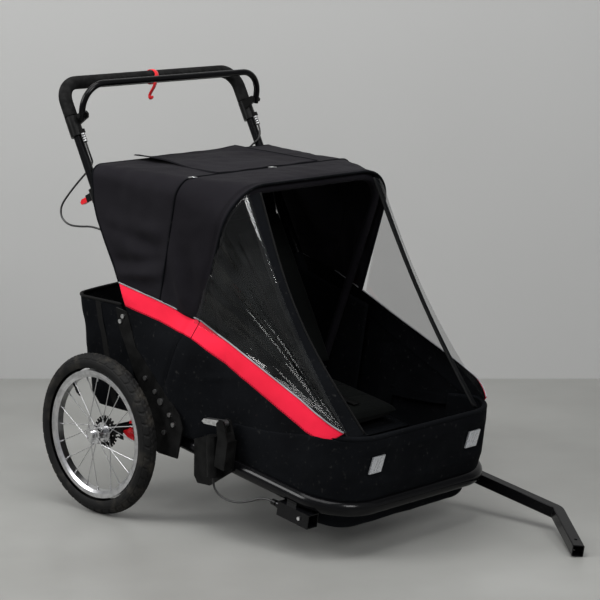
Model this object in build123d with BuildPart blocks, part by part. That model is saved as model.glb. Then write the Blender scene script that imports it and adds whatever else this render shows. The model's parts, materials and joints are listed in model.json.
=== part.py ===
"""Two-seat child bicycle trailer with a telescopic push handle, parked on its wheels and its drawbar.

Every piece is drawn in the trailer's own level frame, in millimetres: +X forward, +Y to the trailer's left,
+Z up, the axle at x = 0 and AXLE_Z above the ground line. The finished pieces are then tipped nose-down about
the axle until the drawbar's open end meets the floor, and moved so that the origin is under the box's middle.
"""
from build123d import *
import os
from math import asin, atan2, cos, degrees, hypot, pi, radians, sin, tan

os.makedirs("parts", exist_ok=True)

# ---------------------------------------------------------------- driving dimensions
AXLE_Z = 200.0            # the axle's height, which is the wheel's radius
WHEEL_Y = 357.0           # wheel centre plane on each side
TYRE_W = 44.0
BEAD_R = 151.0
RIM_R = 159.0
RIM_W = 27.0
RIM_INNER_R = 142.0
SPOKE_R = 1.1
HUB_BORE = 6.05
AXLE_R = 13.0
PIN_R = 6.0
RING_TEETH = 24
RING_R = 40.5
RING_ROOT_R = 34.5
RING_Y = 330.0            # inner face of the toothed parking ring
RING_T = 3.0

FRAME_Z = 246.0           # centre of the bent base tube
FRAME_Y = 280.0
FRAME_FRONT = 730.0
FRAME_REAR = 150.0
FRAME_CORNER = 110.0
FRAME_R = 19.0
FRAME_WALL = 2.0
CROSSBAR_R = 12.0
CROSSBARS_X = (168.0, 430.0)

PLATE_Y = 316.0           # inner face of the outer side plates
PLATE_T = 4.0
FABRIC_Y = 282.0          # outer face of the cabin's cloth walls, forward of the release brackets
WIDE_Y = 315.8            # outer face of the side cloth where it covers the uprights
CLOTH = 3.0
SIDE_CLOTH = 1.6
PILLAR_W = 40.0
WINDOW_SLACK = 40.0       # how far the middle of a side window's front edge is drawn back

UPRIGHT_Y = 300.0
UPRIGHT_R = 14.0
UPRIGHT_BORE = 11.05
HANDLE_R = 11.0
GRIP_R = 16.5
FOLD_X, FOLD_Z = 165.0, 334.0          # hinge of the uprights
LEAN = (-0.5997, 0.8002)               # direction of the uprights, up and back
UPRIGHT_TOP = 551.0                    # distances along the uprights from their hinge
CROSS_TUBE_S = 320.0
CROSS_TUBE_R = 9.0
HANDLE_FOOT = 231.0
COLLAR_LOW, COLLAR_HIGH = 688.0, 739.0
GRIP_START = 741.0
HANDLE_TOP = 828.0
HANDLE_CORNER = 50.0
BAIL_S, BAIL_N = 727.0, 40.0           # hinge of the brake bail, along and in front of the uprights
BAIL_Y = 302.0
BAIL_R = 8.0
BAIL_H = 77.0
CLAMP_S, CLAMP_N = 536.0, -26.0        # hinge of the red clamp levers

HOOP_X, HOOP_Z = 148.0, 322.0          # hinge of the front hoop
HOOP_TOP_X, HOOP_TOP_Z = 262.0, 876.0
HOOP_Y = 266.0
HOOP_R = 9.0
HOOP_CORNER = 95.0

SOCKET_Y, SOCKET_Z = 290.0, 209.5      # centre line of the square drawbar sockets
SOCKET_REAR, SOCKET_FRONT = 570.0, 668.0
SOCKET_OUT, SOCKET_IN = 34.0, 29.0
PLUNGER_R = 5.0
BAR = 28.0
BAR_WALL = 2.5
BAR_REAR = 586.0
BAR_BEND_X = 930.0
BAR_ANGLE = 40.0
BAR_TIP_X = 1111.0                     # foremost corner of the drawbar's open end
BAR_HOLE_R = 4.1

LEVER_X, LEVER_Z = 380.0, 352.0        # hinge of the socket release levers
BRAKE_X, BRAKE_Z = 46.0, 226.0         # parking-brake shaft
BRAKE_R = 5.0
BRAKE_THROW = 14.0                     # degrees from off to locked
CABLE_R = 2.5

SIDES = (("right", -1), ("left", 1))

# ---------------------------------------------------------------- standing attitude
drop = SOCKET_Z - BAR / 2 - AXLE_Z
PITCH = degrees(asin(AXLE_Z / hypot(BAR_TIP_X, drop)) + atan2(drop, BAR_TIP_X))
TIPPED = Location((0, 0, AXLE_Z)) * Location((0, 0, 0), (0, PITCH, 0)) * Location((0, 0, -AXLE_Z))

finished = []


def finish(piece, label):
    """Label a finished piece and tip it nose-down with the rest of the trailer."""
    standing = piece.part.moved(TIPPED)
    standing.label = label
    finished.append(standing)


# ---------------------------------------------------------------- helpers
def along(s, n=0.0, y=0.0):
    """The point at distance s up the uprights' line and n in front of it."""
    return (FOLD_X + LEAN[0] * s + LEAN[1] * n, y, FOLD_Z + LEAN[1] * s - LEAN[0] * n)


def side_plane(y):
    """A sketch plane across the trailer at y, with x forward and z up, facing the trailer's right."""
    return Plane(origin=(0, y, 0), x_dir=(1, 0, 0), z_dir=(0, -1, 0))


def front_plane(x, y, z):
    """A sketch plane square to the trailer's length, with its x axis to the trailer's left."""
    return Plane(origin=(x, y, z), x_dir=(0, 1, 0), z_dir=(1, 0, 0))


def uprights_plane(s, y):
    """A sketch plane square to the uprights at distance s, with its x axis forward of them."""
    return Plane(origin=along(s, 0, y), x_dir=(LEAN[1], 0, -LEAN[0]), z_dir=(LEAN[0], 0, LEAN[1]))


def round_tube(points, radii, outer, inner=0.0):
    """A round tube or rod along straight runs joined by arcs of the given radii."""
    with BuildPart() as tube:
        with BuildLine() as path:
            if len(points) > 2:
                FilletPolyline(*points, radius=radii)
            else:
                Line(*points)
        with BuildSketch(Plane(origin=path.line @ 0, z_dir=path.line % 0)):
            Circle(outer)
            if inner:
                Circle(inner, mode=Mode.SUBTRACT)
        sweep(path=path.line)
    return tube


def cable(points, name):
    """A plain cable along its route, each arc as large as the runs beside it allow."""
    runs = [Vector(*end) - Vector(*start) for start, end in zip(points, points[1:])]
    radii = []
    for before, after in zip(runs, runs[1:]):
        half_turn = radians(before.get_angle(after)) / 2
        radii.append(0.45 * min(before.length, after.length) / tan(half_turn))
    tube = round_tube(points, radii, CABLE_R)
    length = tube.part.volume / (pi * CABLE_R**2)
    print(f"{name}: {length:.0f} mm long, bend radii", ", ".join(f"{value:.0f}" for value in radii), "mm")
    return tube


def cross_pin(x, z, radius, low_y, high_y, mode=Mode.ADD):
    """A cylinder along Y between two distances from the middle plane, inside the open part."""
    with BuildSketch(side_plane(low_y)) as section:
        with Locations((x, z)):
            Circle(radius)
    extrude(section.sketch, amount=low_y - high_y, mode=mode)


def slab(points, low_y, high_y, mode=Mode.ADD):
    """A flat plate with a straight-sided outline in side view, between two y values, inside the open part."""
    with BuildSketch(side_plane(low_y)) as section:
        with BuildLine():
            Polyline(*points, close=True)
        make_face()
    extrude(section.sketch, amount=low_y - high_y, mode=mode)


# ---------------------------------------------------------------- wheels
brake_arm = 26.0
brake_angle = atan2(BRAKE_Z - AXLE_Z, BRAKE_X)
dog_root = (BRAKE_X + brake_arm * sin(brake_angle), BRAKE_Z - brake_arm * cos(brake_angle))
dog_angle = atan2(dog_root[1] - AXLE_Z, dog_root[0])
dog_tip = (43.0 * cos(dog_angle), AXLE_Z + 43.0 * sin(dog_angle))
throw = radians(BRAKE_THROW)
locked_tip = (
    BRAKE_X + (dog_tip[0] - BRAKE_X) * cos(throw) + (dog_tip[1] - BRAKE_Z) * sin(throw),
    BRAKE_Z - (dog_tip[0] - BRAKE_X) * sin(throw) + (dog_tip[1] - BRAKE_Z) * cos(throw),
)
ring_gap = degrees(atan2(locked_tip[1] - AXLE_Z, locked_tip[0]))
tooth_pitch = 360 / RING_TEETH

for name, side in SIDES:
    # The wheel's own section plane: its x axis points outboard and its y axis runs out from the axle.
    section = Plane(origin=(0, side * WHEEL_Y, AXLE_Z), x_dir=(0, side, 0), z_dir=(1, 0, 0))
    spin_axis = Axis((0, 0, AXLE_Z), (0, 1, 0))

    with BuildPart() as tyre:
        with BuildSketch(section):
            with Locations((0, AXLE_Z - TYRE_W / 2)):
                Circle(TYRE_W / 2)
            with Locations((0, RIM_R - 10)):
                Rectangle(60, 21, mode=Mode.SUBTRACT)
            with Locations((0, BEAD_R + 6)):
                Rectangle(20, 12)
            with Locations((0, AXLE_Z - TYRE_W / 2)):
                Circle(TYRE_W / 2 - 5, mode=Mode.SUBTRACT)
            with Locations((0, BEAD_R + 4)):
                Rectangle(10, 14, mode=Mode.SUBTRACT)
        revolve(axis=spin_axis)
    finish(tyre, f"tyre_{name}")

    with BuildPart() as rim:
        with BuildSketch(section):
            with BuildLine():
                Polyline(
                    (-RIM_W / 2, RIM_R), (-RIM_W / 2, 149), (-9, RIM_INNER_R), (9, RIM_INNER_R),
                    (RIM_W / 2, 149), (RIM_W / 2, RIM_R), (11, RIM_R), (11, 150), (-11, 150), (-11, RIM_R),
                    close=True,
                )
            make_face()
        revolve(axis=spin_axis)
    finish(rim, f"rim_{name}")

    with BuildPart() as spokes:
        for index in range(20):
            flange = 1 if index % 2 else -1
            crossing = 1 if index % 4 < 2 else -1
            rim_turn = radians(18 * index + 9)
            hub_turn = rim_turn + crossing * radians(48)
            hub_w = flange * (20.9 if crossing > 0 else 14.2)
            start = (20 * cos(hub_turn), side * (WHEEL_Y + hub_w), AXLE_Z + 20 * sin(hub_turn))
            end_r = RIM_INNER_R - 0.3
            end = (end_r * cos(rim_turn), side * (WHEEL_Y + flange * 2), AXLE_Z + end_r * sin(rim_turn))
            with BuildSketch(Plane(origin=start, z_dir=Vector(*end) - Vector(*start))):
                Circle(SPOKE_R)
            extrude(amount=(Vector(*end) - Vector(*start)).length)
    finish(spokes, f"spokes_{name}")

    with BuildPart() as hub:
        with BuildSketch(section):
            with BuildLine():
                Polyline(
                    (-24, HUB_BORE), (-24, 16), (-18.5, 16), (-18.5, 25), (-15.5, 25), (-15.5, 14),
                    (15.5, 14), (15.5, 25), (18.5, 25), (18.5, 13), (21, 11), (21, HUB_BORE), close=True,
                )
            make_face()
        revolve(axis=spin_axis)
    finish(hub, f"hub_{name}")

    with BuildPart() as brake_ring:
        inner_face = side * RING_Y
        with BuildSketch(side_plane(inner_face)):
            with Locations((0, AXLE_Z)):
                Circle(RING_ROOT_R)
                with PolarLocations(RING_ROOT_R, RING_TEETH, start_angle=ring_gap + tooth_pitch / 2):
                    Rectangle(2 * (RING_R - RING_ROOT_R), 4.2)
                Circle(8, mode=Mode.SUBTRACT)
                with PolarLocations(24, 6):
                    Circle(4, mode=Mode.SUBTRACT)
        extrude(amount=-side * RING_T)
    finish(brake_ring, f"brake_ring_{name}")

# ---------------------------------------------------------------- axle and base frame
with BuildPart() as axle_tube:
    cross_pin(0, AXLE_Z, AXLE_R, -324, 324)
    cross_pin(0, AXLE_Z, AXLE_R - 2.5, -290, 290, mode=Mode.SUBTRACT)
    cross_pin(0, AXLE_Z, PIN_R, -330, 330, mode=Mode.SUBTRACT)
finish(axle_tube, "axle_tube")

with BuildPart() as axle_pins:
    for side in (-1, 1):
        cross_pin(0, AXLE_Z, PIN_R, *sorted((side * 296, side * 384)))
        cross_pin(0, AXLE_Z, 9, *sorted((side * 378.3, side * 384)))
finish(axle_pins, "axle_pins")

with BuildPart() as base_frame:
    with BuildLine() as frame_path:
        FilletPolyline(
            (FRAME_REAR, -FRAME_Y, FRAME_Z), (FRAME_FRONT, -FRAME_Y, FRAME_Z),
            (FRAME_FRONT, FRAME_Y, FRAME_Z), (FRAME_REAR, FRAME_Y, FRAME_Z), radius=FRAME_CORNER,
        )
    with BuildSketch(Plane(origin=frame_path.line @ 0, z_dir=frame_path.line % 0)):
        Circle(FRAME_R)
        Circle(FRAME_R - FRAME_WALL, mode=Mode.SUBTRACT)
    sweep(path=frame_path.line)
finish(base_frame, "base_frame")

with BuildPart() as crossbars:
    for bar_x in CROSSBARS_X:
        cross_pin(bar_x, FRAME_Z, CROSSBAR_R, FRAME_R - FRAME_Y, FRAME_Y - FRAME_R)
        cross_pin(bar_x, FRAME_Z, CROSSBAR_R - 2, FRAME_R - FRAME_Y, FRAME_Y - FRAME_R, mode=Mode.SUBTRACT)
finish(crossbars, "crossbars")

with BuildPart() as axle_carriers:
    for side in (-1, 1):
        slab(
            ((-20, 186), (-20, 214), (-8, 224), (60, 244), (158, 268), (186, 262), (190, 228), (168, 218),
             (8, 178)),
            *sorted((side * 222, side * 228)),
        )
    cross_pin(0, AXLE_Z, AXLE_R, -240, 240, mode=Mode.SUBTRACT)
    cross_pin(CROSSBARS_X[0], FRAME_Z, CROSSBAR_R, -240, 240, mode=Mode.SUBTRACT)
    cross_pin(BRAKE_X, BRAKE_Z, BRAKE_R + 0.05, -240, 240, mode=Mode.SUBTRACT)
finish(axle_carriers, "axle_carriers")

plate_outline = (
    (-26, 514), (14, 514), (58, 438), (126, 392), (230, 322), (248, 292), (242, 214), (178, 206), (148, 214),
    (150, 262), (120, 316), (62, 376), (-8, 470),
)
for name, side in SIDES:
    with BuildPart() as side_plate:
        slab(plate_outline, *sorted((side * PLATE_Y, side * (PLATE_Y + PLATE_T))))
        with BuildSketch(side_plane(side * PLATE_Y)):
            with Locations((194, 245)):
                Rectangle(58, 24)
        extrude(amount=side * (PLATE_Y - FRAME_Y - FRAME_R - 0.2))
        cross_pin(FOLD_X, FOLD_Z, 5, *sorted((side * 310, side * 330)), mode=Mode.SUBTRACT)
    finish(side_plate, f"side_plate_{name}")

with BuildPart() as hoop_brackets:
    for side in (-1, 1):
        slab(
            ((122, 246), (128, 336), (168, 336), (192, 262), (188, 240), (150, 236)),
            *sorted((side * 251, side * 255)),
        )
    cross_pin(CROSSBARS_X[0], FRAME_Z, CROSSBAR_R, -260, 260, mode=Mode.SUBTRACT)
    cross_pin(HOOP_X, HOOP_Z, 4, -260, 260, mode=Mode.SUBTRACT)
finish(hoop_brackets, "hoop_brackets")

bolt_places = ((-4, 485), (3, 500), (104, 374), (200, 312), (216, 292), (188, 263), (142, 352))
with BuildPart() as frame_bolts:
    for side in (-1, 1):
        head = PLATE_Y + PLATE_T
        for x, z in bolt_places:
            cross_pin(x, z, 5.5, *sorted((side * head, side * (head + 3.5))))
        cross_pin(FOLD_X, FOLD_Z, 5, *sorted((side * 285, side * head)))
        cross_pin(FOLD_X, FOLD_Z, 8, *sorted((side * head, side * (head + 4))))
        cross_pin(HOOP_X, HOOP_Z, 4, *sorted((side * 251, side * 275.3)))
        cross_pin(HOOP_X, HOOP_Z, 6, *sorted((side * 275.3, side * 277.5)))
        socket_side = SOCKET_Y + SOCKET_OUT / 2
        cross_pin(640, SOCKET_Z, 4.5, *sorted((side * socket_side, side * (socket_side + 3))))
finish(frame_bolts, "frame_bolts")

# ---------------------------------------------------------------- folding uprights and front hoop
with BuildPart() as uprights:
    for side in (-1, 1):
        y = side * UPRIGHT_Y
        with BuildSketch(uprights_plane(-18, y)):
            Circle(UPRIGHT_R)
        extrude(amount=UPRIGHT_TOP + 18)
    cross_pin(*along(CROSS_TUBE_S)[::2], CROSS_TUBE_R, -UPRIGHT_Y + 13.5, UPRIGHT_Y - 13.5)
    for side in (-1, 1):
        with BuildSketch(uprights_plane(20, side * UPRIGHT_Y)):
            Circle(UPRIGHT_BORE)
        extrude(amount=UPRIGHT_TOP, mode=Mode.SUBTRACT)
    cross_pin(FOLD_X, FOLD_Z, 5.05, -330, 330, mode=Mode.SUBTRACT)
finish(uprights, "uprights")

cable_end = (-111.0, 679.0)
with BuildPart() as upright_clamps:
    for side in (-1, 1):
        y = side * UPRIGHT_Y
        with BuildSketch(uprights_plane(518, y)):
            Circle(17.5)
            Circle(UPRIGHT_R, mode=Mode.SUBTRACT)
        extrude(amount=UPRIGHT_TOP - 518)
        with BuildSketch(uprights_plane(527, y)):
            for ear in (-8.2, 8.2):
                with Locations((-24.5, ear)):
                    Rectangle(17, 3.6)
        extrude(amount=18)
        cross_pin(*along(CLAMP_S, CLAMP_N)[::2], 2.5, y - 10, y + 10)
        with BuildSketch(Plane(origin=(cable_end[0] - 12, y, cable_end[1]), z_dir=(1, 0, 0))):
            Circle(5)
        extrude(amount=22)
        with BuildSketch(uprights_plane(400, y)):
            Circle(UPRIGHT_R)
        extrude(amount=100, mode=Mode.SUBTRACT)
finish(upright_clamps, "upright_clamps")

for name, side in SIDES:
    with BuildPart() as clamp_lever:
        hinge = along(CLAMP_S, CLAMP_N)
        y = side * UPRIGHT_Y
        with BuildSketch(side_plane(y + 5.6)):
            with Locations(hinge[::2]):
                Circle(6)
            with BuildLine():
                Polyline(
                    along(CLAMP_S + 6, CLAMP_N)[::2], along(CLAMP_S + 7, CLAMP_N - 30)[::2],
                    along(CLAMP_S + 2, CLAMP_N - 37)[::2], along(CLAMP_S - 5, CLAMP_N - 34)[::2],
                    along(CLAMP_S - 6, CLAMP_N)[::2], close=True,
                )
            make_face()
            with Locations(hinge[::2]):
                Circle(2.55, mode=Mode.SUBTRACT)
        extrude(amount=11.2)
    finish(clamp_lever, f"clamp_lever_{name}")

hoop_lean = hypot(HOOP_TOP_X - HOOP_X, HOOP_TOP_Z - HOOP_Z)
hoop_dir = ((HOOP_TOP_X - HOOP_X) / hoop_lean, (HOOP_TOP_Z - HOOP_Z) / hoop_lean)
with BuildPart() as front_hoop:
    with BuildLine() as hoop_path:
        foot_x, foot_z = HOOP_X - 12 * hoop_dir[0], HOOP_Z - 12 * hoop_dir[1]
        FilletPolyline(
            (foot_x, -HOOP_Y, foot_z), (HOOP_TOP_X, -HOOP_Y, HOOP_TOP_Z),
            (HOOP_TOP_X, HOOP_Y, HOOP_TOP_Z), (foot_x, HOOP_Y, foot_z), radius=HOOP_CORNER,
        )
    with BuildSketch(Plane(origin=hoop_path.line @ 0, z_dir=hoop_path.line % 0)):
        Circle(HOOP_R)
    sweep(path=hoop_path.line)
    cross_pin(HOOP_X, HOOP_Z, 4.05, -HOOP_Y - 20, HOOP_Y + 20, mode=Mode.SUBTRACT)
finish(front_hoop, "front_hoop")

# ---------------------------------------------------------------- push handle and brake bail
handle_route = [along(HANDLE_FOOT, 0, -UPRIGHT_Y), along(HANDLE_TOP, 0, -UPRIGHT_Y)]
handle_route += [along(HANDLE_TOP, 0, UPRIGHT_Y), along(HANDLE_FOOT, 0, UPRIGHT_Y)]
handle_tube = round_tube(handle_route, HANDLE_CORNER, HANDLE_R, HANDLE_R - 1.5)
finish(handle_tube, "handle_tube")

grip_route = [along(GRIP_START, 0, -UPRIGHT_Y), along(HANDLE_TOP, 0, -UPRIGHT_Y)]
grip_route += [along(HANDLE_TOP, 0, UPRIGHT_Y), along(GRIP_START, 0, UPRIGHT_Y)]
foam_grip = round_tube(grip_route, HANDLE_CORNER, GRIP_R, HANDLE_R)
finish(foam_grip, "foam_grip")

with BuildPart() as bail_brackets:
    for side in (-1, 1):
        y = side * UPRIGHT_Y
        arm = sorted((side * 285, side * 291.5))
        with BuildSketch(uprights_plane(COLLAR_LOW, y)):
            Circle(17)
        extrude(amount=COLLAR_HIGH - COLLAR_LOW)
        slab([along(*point)[::2] for point in ((714, 0), (719, 44), (728, 49), (737, 44), (738, 0))], *arm)
        with BuildSketch(uprights_plane(COLLAR_LOW, y)):
            with Locations((18, 0)):
                Rectangle(16, 11)
        extrude(amount=10)
        with BuildSketch(uprights_plane(664, y)):
            with Locations((21, 0)):
                Circle(4.5)
        extrude(amount=26)
        with BuildSketch(uprights_plane(COLLAR_LOW - 40, y)):
            Circle(HANDLE_R)
        extrude(amount=120, mode=Mode.SUBTRACT)
        cross_pin(*along(BAIL_S, BAIL_N)[::2], 4, *sorted((side * 291, side * 311)))
        cross_pin(*along(BAIL_S, BAIL_N)[::2], 6, *sorted((side * 310.6, side * 313)))
finish(bail_brackets, "bail_brackets")

bail_x, _, bail_z = along(BAIL_S, BAIL_N)
bail_route = [(bail_x, -BAIL_Y, bail_z - 9), (bail_x, -BAIL_Y, bail_z + BAIL_H)]
bail_route += [(bail_x, BAIL_Y, bail_z + BAIL_H), (bail_x, BAIL_Y, bail_z - 9)]
with BuildPart() as brake_bail:
    add(round_tube(bail_route, 60, BAIL_R).part)
    cross_pin(bail_x, bail_z, 4.05, -320, 320, mode=Mode.SUBTRACT)
finish(brake_bail, "brake_bail")

strap_y = 12.0
strap_x, _, strap_z = along(HANDLE_TOP)
with BuildPart() as wrist_strap:
    with BuildSketch(side_plane(strap_y + 6)):
        with Locations((strap_x, strap_z)):
            Circle(GRIP_R + 1.8)
            Circle(GRIP_R + 0.1, mode=Mode.SUBTRACT)
        with Locations((strap_x + GRIP_R + 1.2, strap_z - 26)):
            Rectangle(1.6, 52)
    extrude(amount=12)
finish(wrist_strap, "wrist_strap")

brake_cable_route = (
    along(664, 21, UPRIGHT_Y), along(630, 21, UPRIGHT_Y),
    (-212, 271, 820), (-248, 281, 769), (-276, 291, 722),
    (-289, 296, 692), (-279, 299, 667), (-247, 300, 657), (-203, 300, 666), (-160, 300, cable_end[1]),
    (cable_end[0] - 12, 300, cable_end[1]),
)
for name, side in SIDES:
    brake_cable = cable([(x, side * y, z) for x, y, z in brake_cable_route], f"brake_cable_{name}")
    finish(brake_cable, f"brake_cable_{name}")

# ---------------------------------------------------------------- drawbar, its sockets and their latches
for name, side in SIDES:
    y = side * SOCKET_Y
    with BuildPart() as socket:
        with BuildSketch(front_plane(SOCKET_REAR, y, SOCKET_Z)):
            Rectangle(SOCKET_OUT, SOCKET_OUT)
        extrude(amount=SOCKET_FRONT - SOCKET_REAR)
        with BuildSketch(front_plane(SOCKET_REAR + 15, y, SOCKET_Z)):
            Rectangle(SOCKET_IN, SOCKET_IN)
        extrude(amount=SOCKET_FRONT, mode=Mode.SUBTRACT)
        with BuildSketch(front_plane(SOCKET_REAR - 14, y, SOCKET_Z)):
            Circle(9)
        extrude(amount=14)
        with BuildSketch(front_plane(SOCKET_REAR - 14, y, SOCKET_Z)):
            Circle(PLUNGER_R + 0.08)
        extrude(amount=30, mode=Mode.SUBTRACT)
        with BuildSketch(front_plane(588, side * 288, SOCKET_Z + 22)):
            Rectangle(18, 12)
        extrude(amount=30)
        with BuildSketch(front_plane(560, side * FRAME_Y, FRAME_Z)):
            Circle(FRAME_R)
        extrude(amount=100, mode=Mode.SUBTRACT)
    finish(socket, f"drawbar_socket_{name}")

    with BuildPart() as plunger:
        with BuildSketch(front_plane(SOCKET_REAR - 26, y, SOCKET_Z)):
            Circle(PLUNGER_R)
        extrude(amount=41)
        with BuildSketch(front_plane(SOCKET_REAR - 32, y, SOCKET_Z)):
            Circle(7.5)
        extrude(amount=12)
    finish(plunger, f"latch_plunger_{name}")

bar_far = (BAR_TIP_X - BAR / 2 * sin(radians(BAR_ANGLE)) - BAR_BEND_X) / cos(radians(BAR_ANGLE))
bar_end = (
    BAR_BEND_X + bar_far * cos(radians(BAR_ANGLE)), SOCKET_Y - bar_far * sin(radians(BAR_ANGLE)), SOCKET_Z,
)
with BuildPart() as drawbar:
    with BuildLine() as bar_path:
        FilletPolyline((BAR_REAR, SOCKET_Y, SOCKET_Z), (BAR_BEND_X, SOCKET_Y, SOCKET_Z), bar_end, radius=28)
    with BuildSketch(Plane(origin=bar_path.line @ 0, x_dir=(0, 0, 1), z_dir=bar_path.line % 0)):
        RectangleRounded(BAR, BAR, 3)
        Rectangle(BAR - 2 * BAR_WALL, BAR - 2 * BAR_WALL, mode=Mode.SUBTRACT)
    sweep(path=bar_path.line)
    hole_x = bar_end[0] - 34 * cos(radians(BAR_ANGLE))
    hole_y = bar_end[1] + 34 * sin(radians(BAR_ANGLE))
    with BuildSketch(Plane(origin=(hole_x, hole_y, SOCKET_Z - 20))):
        Circle(BAR_HOLE_R)
    extrude(amount=40, mode=Mode.SUBTRACT)
finish(drawbar, "drawbar")

bracket_outline = (
    (276, 275), (290, 186), (304, 172), (345, 180), (412, 240), (410, 318), (365, 322), (300, 288),
)
housing_top = (352, 314)
down = (sin(radians(PITCH)), 0, -cos(radians(PITCH)))         # plumb, once the trailer is tipped
HOUSING_LENGTH = 100
far_end = (housing_top[0] + down[0] * HOUSING_LENGTH, housing_top[1] + down[2] * HOUSING_LENGTH)
with BuildPart() as release_brackets:
    for side in (-1, 1):
        y = side * 322
        slab(bracket_outline, *sorted((side * 299.5, side * 304.5)))
        with BuildSketch(Plane(origin=(housing_top[0], y, housing_top[1]), z_dir=down)):
            Circle(14.5)
        extrude(amount=HOUSING_LENGTH)
        slab(((346, 312), (366, 312), (384, 216), (364, 216)), *sorted((side * 304, side * 318)))
        slab(
            ((376, 246), (376, 318), (366, 350), (374, 362), (388, 362), (410, 318), (410, 246)),
            *sorted((side * 304, side * 331)),
        )
        slab(
            ((355, 322), (355, 380), (400, 380), (400, 322)), *sorted((side * 310, side * 326)),
            mode=Mode.SUBTRACT,
        )
        cross_pin(LEVER_X, LEVER_Z, 3, *sorted((side * 306, side * 329)))
        with BuildSketch(Plane(origin=(far_end[0], y, far_end[1]), z_dir=(-down[0], 0, -down[2]))):
            Circle(CABLE_R)
        extrude(amount=20, mode=Mode.SUBTRACT)
finish(release_brackets, "release_brackets")

for name, side in SIDES:
    with BuildPart() as release_lever:
        with BuildSketch(side_plane(side * 318 + 7.6)):
            with Locations((LEVER_X, LEVER_Z)):
                Circle(9)
            with BuildLine():
                Polyline(
                    (LEVER_X + 2, LEVER_Z + 9), (LEVER_X - 60, LEVER_Z - 6), (LEVER_X - 66, LEVER_Z - 14),
                    (LEVER_X - 58, LEVER_Z - 18), (LEVER_X - 4, LEVER_Z - 8), close=True,
                )
            make_face()
            with Locations((LEVER_X, LEVER_Z)):
                Circle(3.05, mode=Mode.SUBTRACT)
        extrude(amount=15.2)
    finish(release_lever, f"release_lever_{name}")

release_route = (
    (far_end[0], 322, far_end[1]), (far_end[0] + 24 * down[0], 322, far_end[1] + 24 * down[2]),
    (396, 321, 177), (426, 318, 174), (457, 312, 180), (484, 302, 193), (509, SOCKET_Y, SOCKET_Z),
    (SOCKET_REAR - 32.3, SOCKET_Y, SOCKET_Z),
)
for name, side in SIDES:
    release_cable = cable([(x, side * y, z) for x, y, z in release_route], f"release_cable_{name}")
    finish(release_cable, f"release_cable_{name}")

# ---------------------------------------------------------------- parking brake
with BuildPart() as parking_shaft:
    cross_pin(BRAKE_X, BRAKE_Z, BRAKE_R, -335, 335)
    inward = (dog_tip[0] - dog_root[0], dog_tip[1] - dog_root[1])
    for side in (-1, 1):
        dog_y = sorted((side * RING_Y, side * (RING_Y + RING_T)))
        cross_pin(BRAKE_X, BRAKE_Z, 8, *dog_y)
        slab(
            ((BRAKE_X - 3, BRAKE_Z - 6), (BRAKE_X + 7, BRAKE_Z + 3), (dog_root[0] + 5, dog_root[1] - 2),
             (dog_root[0] - 2, dog_root[1] - 3)),
            *dog_y,
        )
        slab(
            ((dog_root[0], dog_root[1] + 2.5), (dog_root[0], dog_root[1] - 3), (dog_tip[0], dog_tip[1] - 1.4),
             (dog_tip[0], dog_tip[1] + 1.4)),
            *dog_y,
        )
finish(parking_shaft, "parking_shaft")

with BuildPart() as parking_pedal:
    slab(
        ((BRAKE_X - 9, BRAKE_Z + 9), (BRAKE_X + 9, BRAKE_Z + 9), (BRAKE_X + 9, BRAKE_Z - 20),
         (BRAKE_X - 9, BRAKE_Z - 20)),
        -292, -284,
    )
    slab(((34, 206), (36, 212), (72, 206), (74, 198), (50, 199)), -306, -270)
    cross_pin(BRAKE_X, BRAKE_Z, BRAKE_R, -320, -260, mode=Mode.SUBTRACT)
finish(parking_pedal, "parking_pedal")

# ---------------------------------------------------------------- cabin cloth, seats and trunk
def arch(bottom, top, corner, half):
    """The closed outline of a cloth arch of that half width, on a plane from its bottom to its top point."""
    rise = hypot(top[0] - bottom[0], top[1] - bottom[1])
    up = ((top[0] - bottom[0]) / rise, 0, (top[1] - bottom[1]) / rise)
    foot = Plane(origin=(bottom[0], 0, bottom[1]), x_dir=(0, 1, 0), z_dir=(up[2], 0, -up[0]))
    with BuildSketch(foot) as outline:
        with BuildLine():
            outer_top = rise - corner
            inner_top = rise - CLOTH
            inner_y = half - CLOTH
            bend_y = half - corner
            inner_bend = corner - CLOTH
            Line((-half, 0), (-half, outer_top))
            RadiusArc((-half, outer_top), (-bend_y, rise), corner)
            Line((-bend_y, rise), (bend_y, rise))
            RadiusArc((bend_y, rise), (half, outer_top), corner)
            Line((half, outer_top), (half, 0))
            Line((half, 0), (inner_y, 0))
            Line((inner_y, 0), (inner_y, outer_top))
            RadiusArc((inner_y, outer_top), (bend_y, inner_top), -inner_bend)
            Line((bend_y, inner_top), (-bend_y, inner_top))
            RadiusArc((-bend_y, inner_top), (-inner_y, outer_top), -inner_bend)
            Line((-inner_y, outer_top), (-inner_y, 0))
            Line((-inner_y, 0), (-half, 0))
        make_face()
    return outline.sketch


rear_bow = ((-48, 574), (-178, 833), 22, 321)
middle_seam = ((112, 571), (122, 874), 48, 307)
front_bow = ((222, 553), (278, 892), 110, 284)

with BuildPart() as roof:
    loft([arch(*rear_bow), arch(*middle_seam)], ruled=True)
finish(roof, "roof")

with BuildPart() as hood:
    loft([arch(*middle_seam), arch(*front_bow)], ruled=True)
finish(hood, "hood")

with BuildPart() as roof_flap:
    slab(((-164, 835.6), (112, 873.3), (112, 875.3), (-164, 837.6)), -178, 178)
finish(roof_flap, "roof_flap")

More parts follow.
